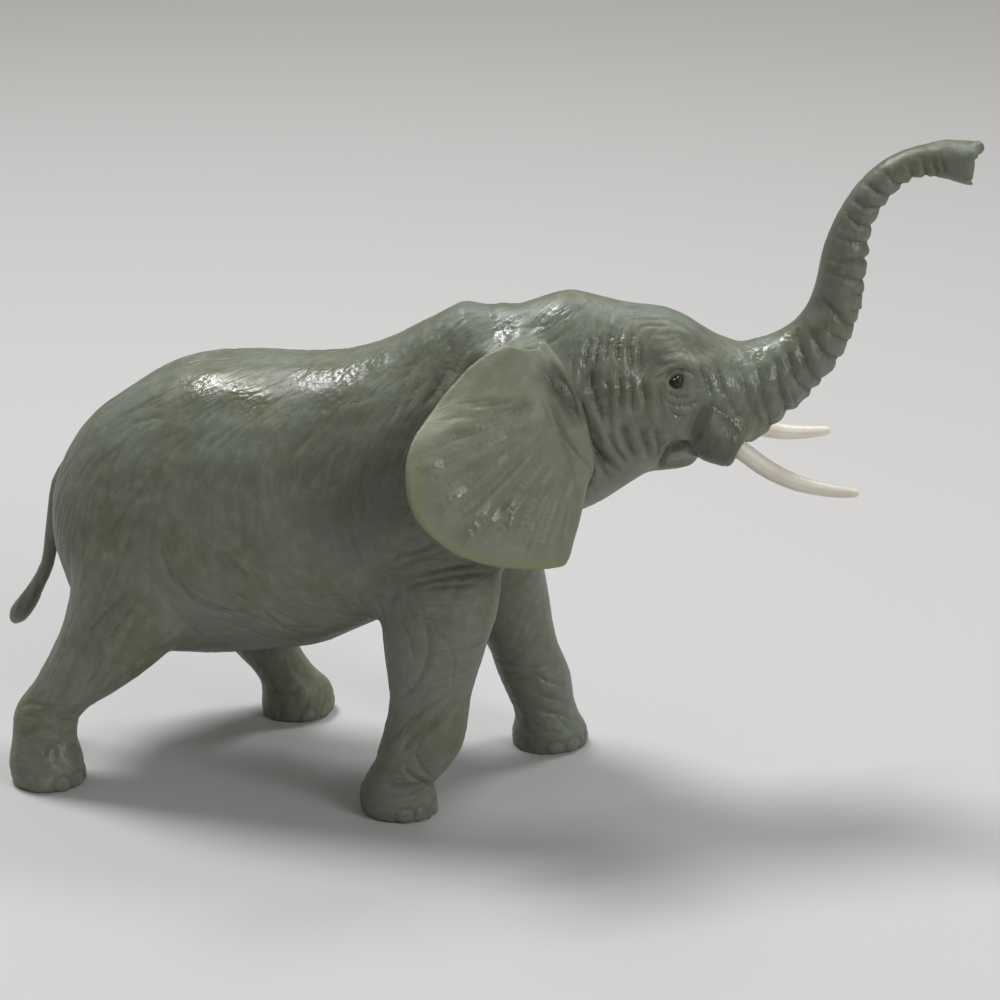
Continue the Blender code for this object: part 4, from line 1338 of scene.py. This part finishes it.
def black_paint():
    """Black gloss enamel, dabbed on: deep, wet looking, a little uneven."""
    material, shader = new_material("black_enamel_dabbed_gloss")
    place = add(material, "ShaderNodeTexCoord").outputs["Object"]
    pool = add(
        material, "ShaderNodeTexNoise", None,
        {"Vector": place, "Scale": 1 / (POOL_SIZE * MM), "Detail": 2},
    ).outputs["Fac"]
    colour = add(
        material, "ShaderNodeMix", {"data_type": "RGBA"},
        {0: pool, 6: linear("#14130f"), 7: linear("#24231c")},
    )
    rough = add(
        material, "ShaderNodeMapRange", None, {"Value": pool, 1: 0.3, 2: 0.7, 3: 0.22, 4: 0.34}
    )
    material.node_tree.links.new(colour.outputs[2], shader.inputs["Base Color"])
    material.node_tree.links.new(rough.outputs[0], shader.inputs["Roughness"])
    return material


def floor_board():
    """A pale laminate board, matt, a little darker towards the back of the room."""
    material, shader = new_material("pale_laminate_matt")
    place = add(material, "ShaderNodeTexCoord").outputs["Object"]
    tone = add(
        material, "ShaderNodeTexNoise", None,
        {"Vector": place, "Scale": 1 / (FLOOR_TONE_SIZE * MM), "Detail": 2},
    )
    back = add(material, "ShaderNodeSeparateXYZ", None, {0: place}).outputs["Y"]
    far = add(material, "ShaderNodeMapRange", None, {"Value": back, 1: -0.05, 2: 0.7})
    colour = linear("#c4c3c4")
    for share, shade in ((tone.outputs["Fac"], "#bebdbe"), (far.outputs[0], "#b1afad")):
        colour = add(
            material, "ShaderNodeMix", {"data_type": "RGBA"},
            {0: share, 6: colour, 7: linear(shade)},
        ).outputs[2]
    material.node_tree.links.new(colour, shader.inputs["Base Color"])
    shader.inputs["Roughness"].default_value = 0.6
    return material


def thin_out(piece, share):
    """Thin a carved skin where it is flat, and keep its folds."""
    thinner = piece.modifiers.new("thinner", "DECIMATE")
    thinner.ratio = share
    settle(piece)


def eye_bead(node, outward):
    """A flat drop with three blunt corners, as paint pools in a moulded socket."""
    low, high = (Vector(corner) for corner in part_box(node))
    bm = bmesh.new()
    bmesh.ops.create_uvsphere(bm, u_segments=48, v_segments=24, radius=(high - low).x / 2)
    ahead = HEAD_FRAME @ Vector((1, 0, 0))
    for vertex in bm.verts:
        out = vertex.co.dot(outward)
        flat = vertex.co - outward * out
        angle = math.atan2(flat.z, flat.dot(ahead))
        corner = 0.87 + 0.13 * math.cos(3 * (angle - math.radians(60)))
        vertex.co = flat * corner + outward * out * BEAD_FLATNESS
    bmesh.ops.translate(bm, verts=bm.verts, vec=(low + high) / 2)
    return new_piece(node + "_bead", bm)


def dress(piece, node, material):
    """Finish a piece that stands for a CAD node."""
    piece.data.materials.clear()
    piece.data.materials.append(material)
    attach(piece, "root")
    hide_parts(node)


def main_pieces():
    """Make, carve and dress every piece."""
    rng = np.random.default_rng(SEED)
    pvc, ivory, enamel = grey_pvc(), ivory_pvc(), black_paint()

    figure = figure_skin()
    carve_figure(figure, rng)
    thin_out(figure.piece, KEPT_SHARE)
    behind = SEAM_POINT - SEAM_NORMAL * SEAM_GAP, SEAM_NORMAL
    ahead = SEAM_POINT + SEAM_NORMAL * SEAM_GAP, -SEAM_NORMAL
    for name, node, cuts in (
        ("left_body_skin", "body_left_half", (behind, (NECK_AXIS, -BODY_NORMAL))),
        ("right_body_skin", "body_right_half", (behind, (NECK_AXIS, BODY_NORMAL))),
        ("head_skin", "head_and_trunk", (ahead,)),
    ):
        dress(cut_copy(figure.piece, name, cuts), node, pvc)
    bpy.data.objects.remove(figure.piece)

    ears = ear_skin("right_ear", -1), ear_skin("left_ear", 1)
    carve_ears(*ears, rng)
    for ear, name in zip(ears, ("right_ear", "left_ear")):
        dress(ear.piece, name, pvc)

    tail = Skin(fine_skin("tail_skin", solid_copy("tail"), SMALL_VOXEL, SMALL_ROUNDS))
    for width, deep, marks in TAIL_FOLDS:
        fold(tail, width, deep, marks, BODY_NORMAL, TAIL_FOLD_SHADE)
    dab(tail, tail.gloss, TAIL_SHINE)
    tail.comb(Lie(tail, ((TAIL_LIE, BODY_NORMAL),), HEAD_CORES, 0), rng, SMALL_COMB, 1)
    tail.finish()
    dress(tail.piece, "tail", pvc)

    for name in ("left_tusk", "right_tusk"):
        tusk = fine_skin(name + "_skin", solid_copy(name), SMALL_VOXEL, SMALL_ROUNDS)
        dress(tusk, name, ivory)

    for name, outward in (("left_eye", HEAD_NORMAL), ("right_eye", -HEAD_NORMAL)):
        dress(eye_bead(name, outward), name, enamel)


# The stage: half the floor's size in metres, the room's light, and the lamps, each with
# its way from the figure, distance and size in metres and power in watts
FLOOR_HALF_SIZE = 3.0
SKY_STRENGTH = 0.35
LAMPS = (
    ("ceiling_left", (-0.36, 0.22, 0.92), 1.1, 0.35, 9.5),
    ("ceiling_right", (0.25, 0.5, 0.83), 1.2, 0.30, 4.0),
    ("right_fill", (0.85, -0.42, 0.5), 1.3, 0.5, 5.2),
)


def stage_and_light():
    """The floor, the lamps and the camera."""
    bm = bmesh.new()
    bmesh.ops.create_grid(bm, x_segments=1, y_segments=1, size=FLOOR_HALF_SIZE)
    floor = new_piece("floor", bm)
    floor.data.materials.append(floor_board())
    floor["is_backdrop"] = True

    world = bpy.context.scene.world or bpy.data.worlds.new("room")
    bpy.context.scene.world = world
    world.use_nodes = True
    sky = world.node_tree.nodes["Background"].inputs
    sky["Color"].default_value = linear("#e9e8e5")
    sky["Strength"].default_value = SKY_STRENGTH

    for name, way, distance, size, power in LAMPS:
        lamp = bpy.data.lights.new(name, "AREA")
        lamp.shape = "DISK"
        lamp.size = size
        lamp.energy = power
        holder = bpy.data.objects.new(name, lamp)
        bpy.context.scene.collection.objects.link(holder)
        way = Vector(way).normalized()
        holder.location = VIEW_TARGET + way * distance
        holder.rotation_euler = way.to_track_quat("Z", "Y").to_euler()

    right, up, back = view_axes()
    lens = bpy.data.cameras.new("camera")
    lens.lens = LENS
    lens.sensor_width = SENSOR
    lens.clip_start = 0.01
    camera = bpy.data.objects.new("camera", lens)
    bpy.context.scene.collection.objects.link(camera)
    camera.matrix_world = Matrix.Translation(VIEW_TARGET + back * VIEW_DISTANCE) @ (
        Matrix((right, up, back)).transposed().to_4x4()
    )
    bpy.context.scene.camera = camera
    bpy.context.scene.view_settings.view_transform = "Standard"


main_pieces()
stage_and_light()

boxes = {"cad": cad_box, "visual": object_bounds()}
{key: [list(map(float, corner)) for corner in box] for key, box in boxes.items()}
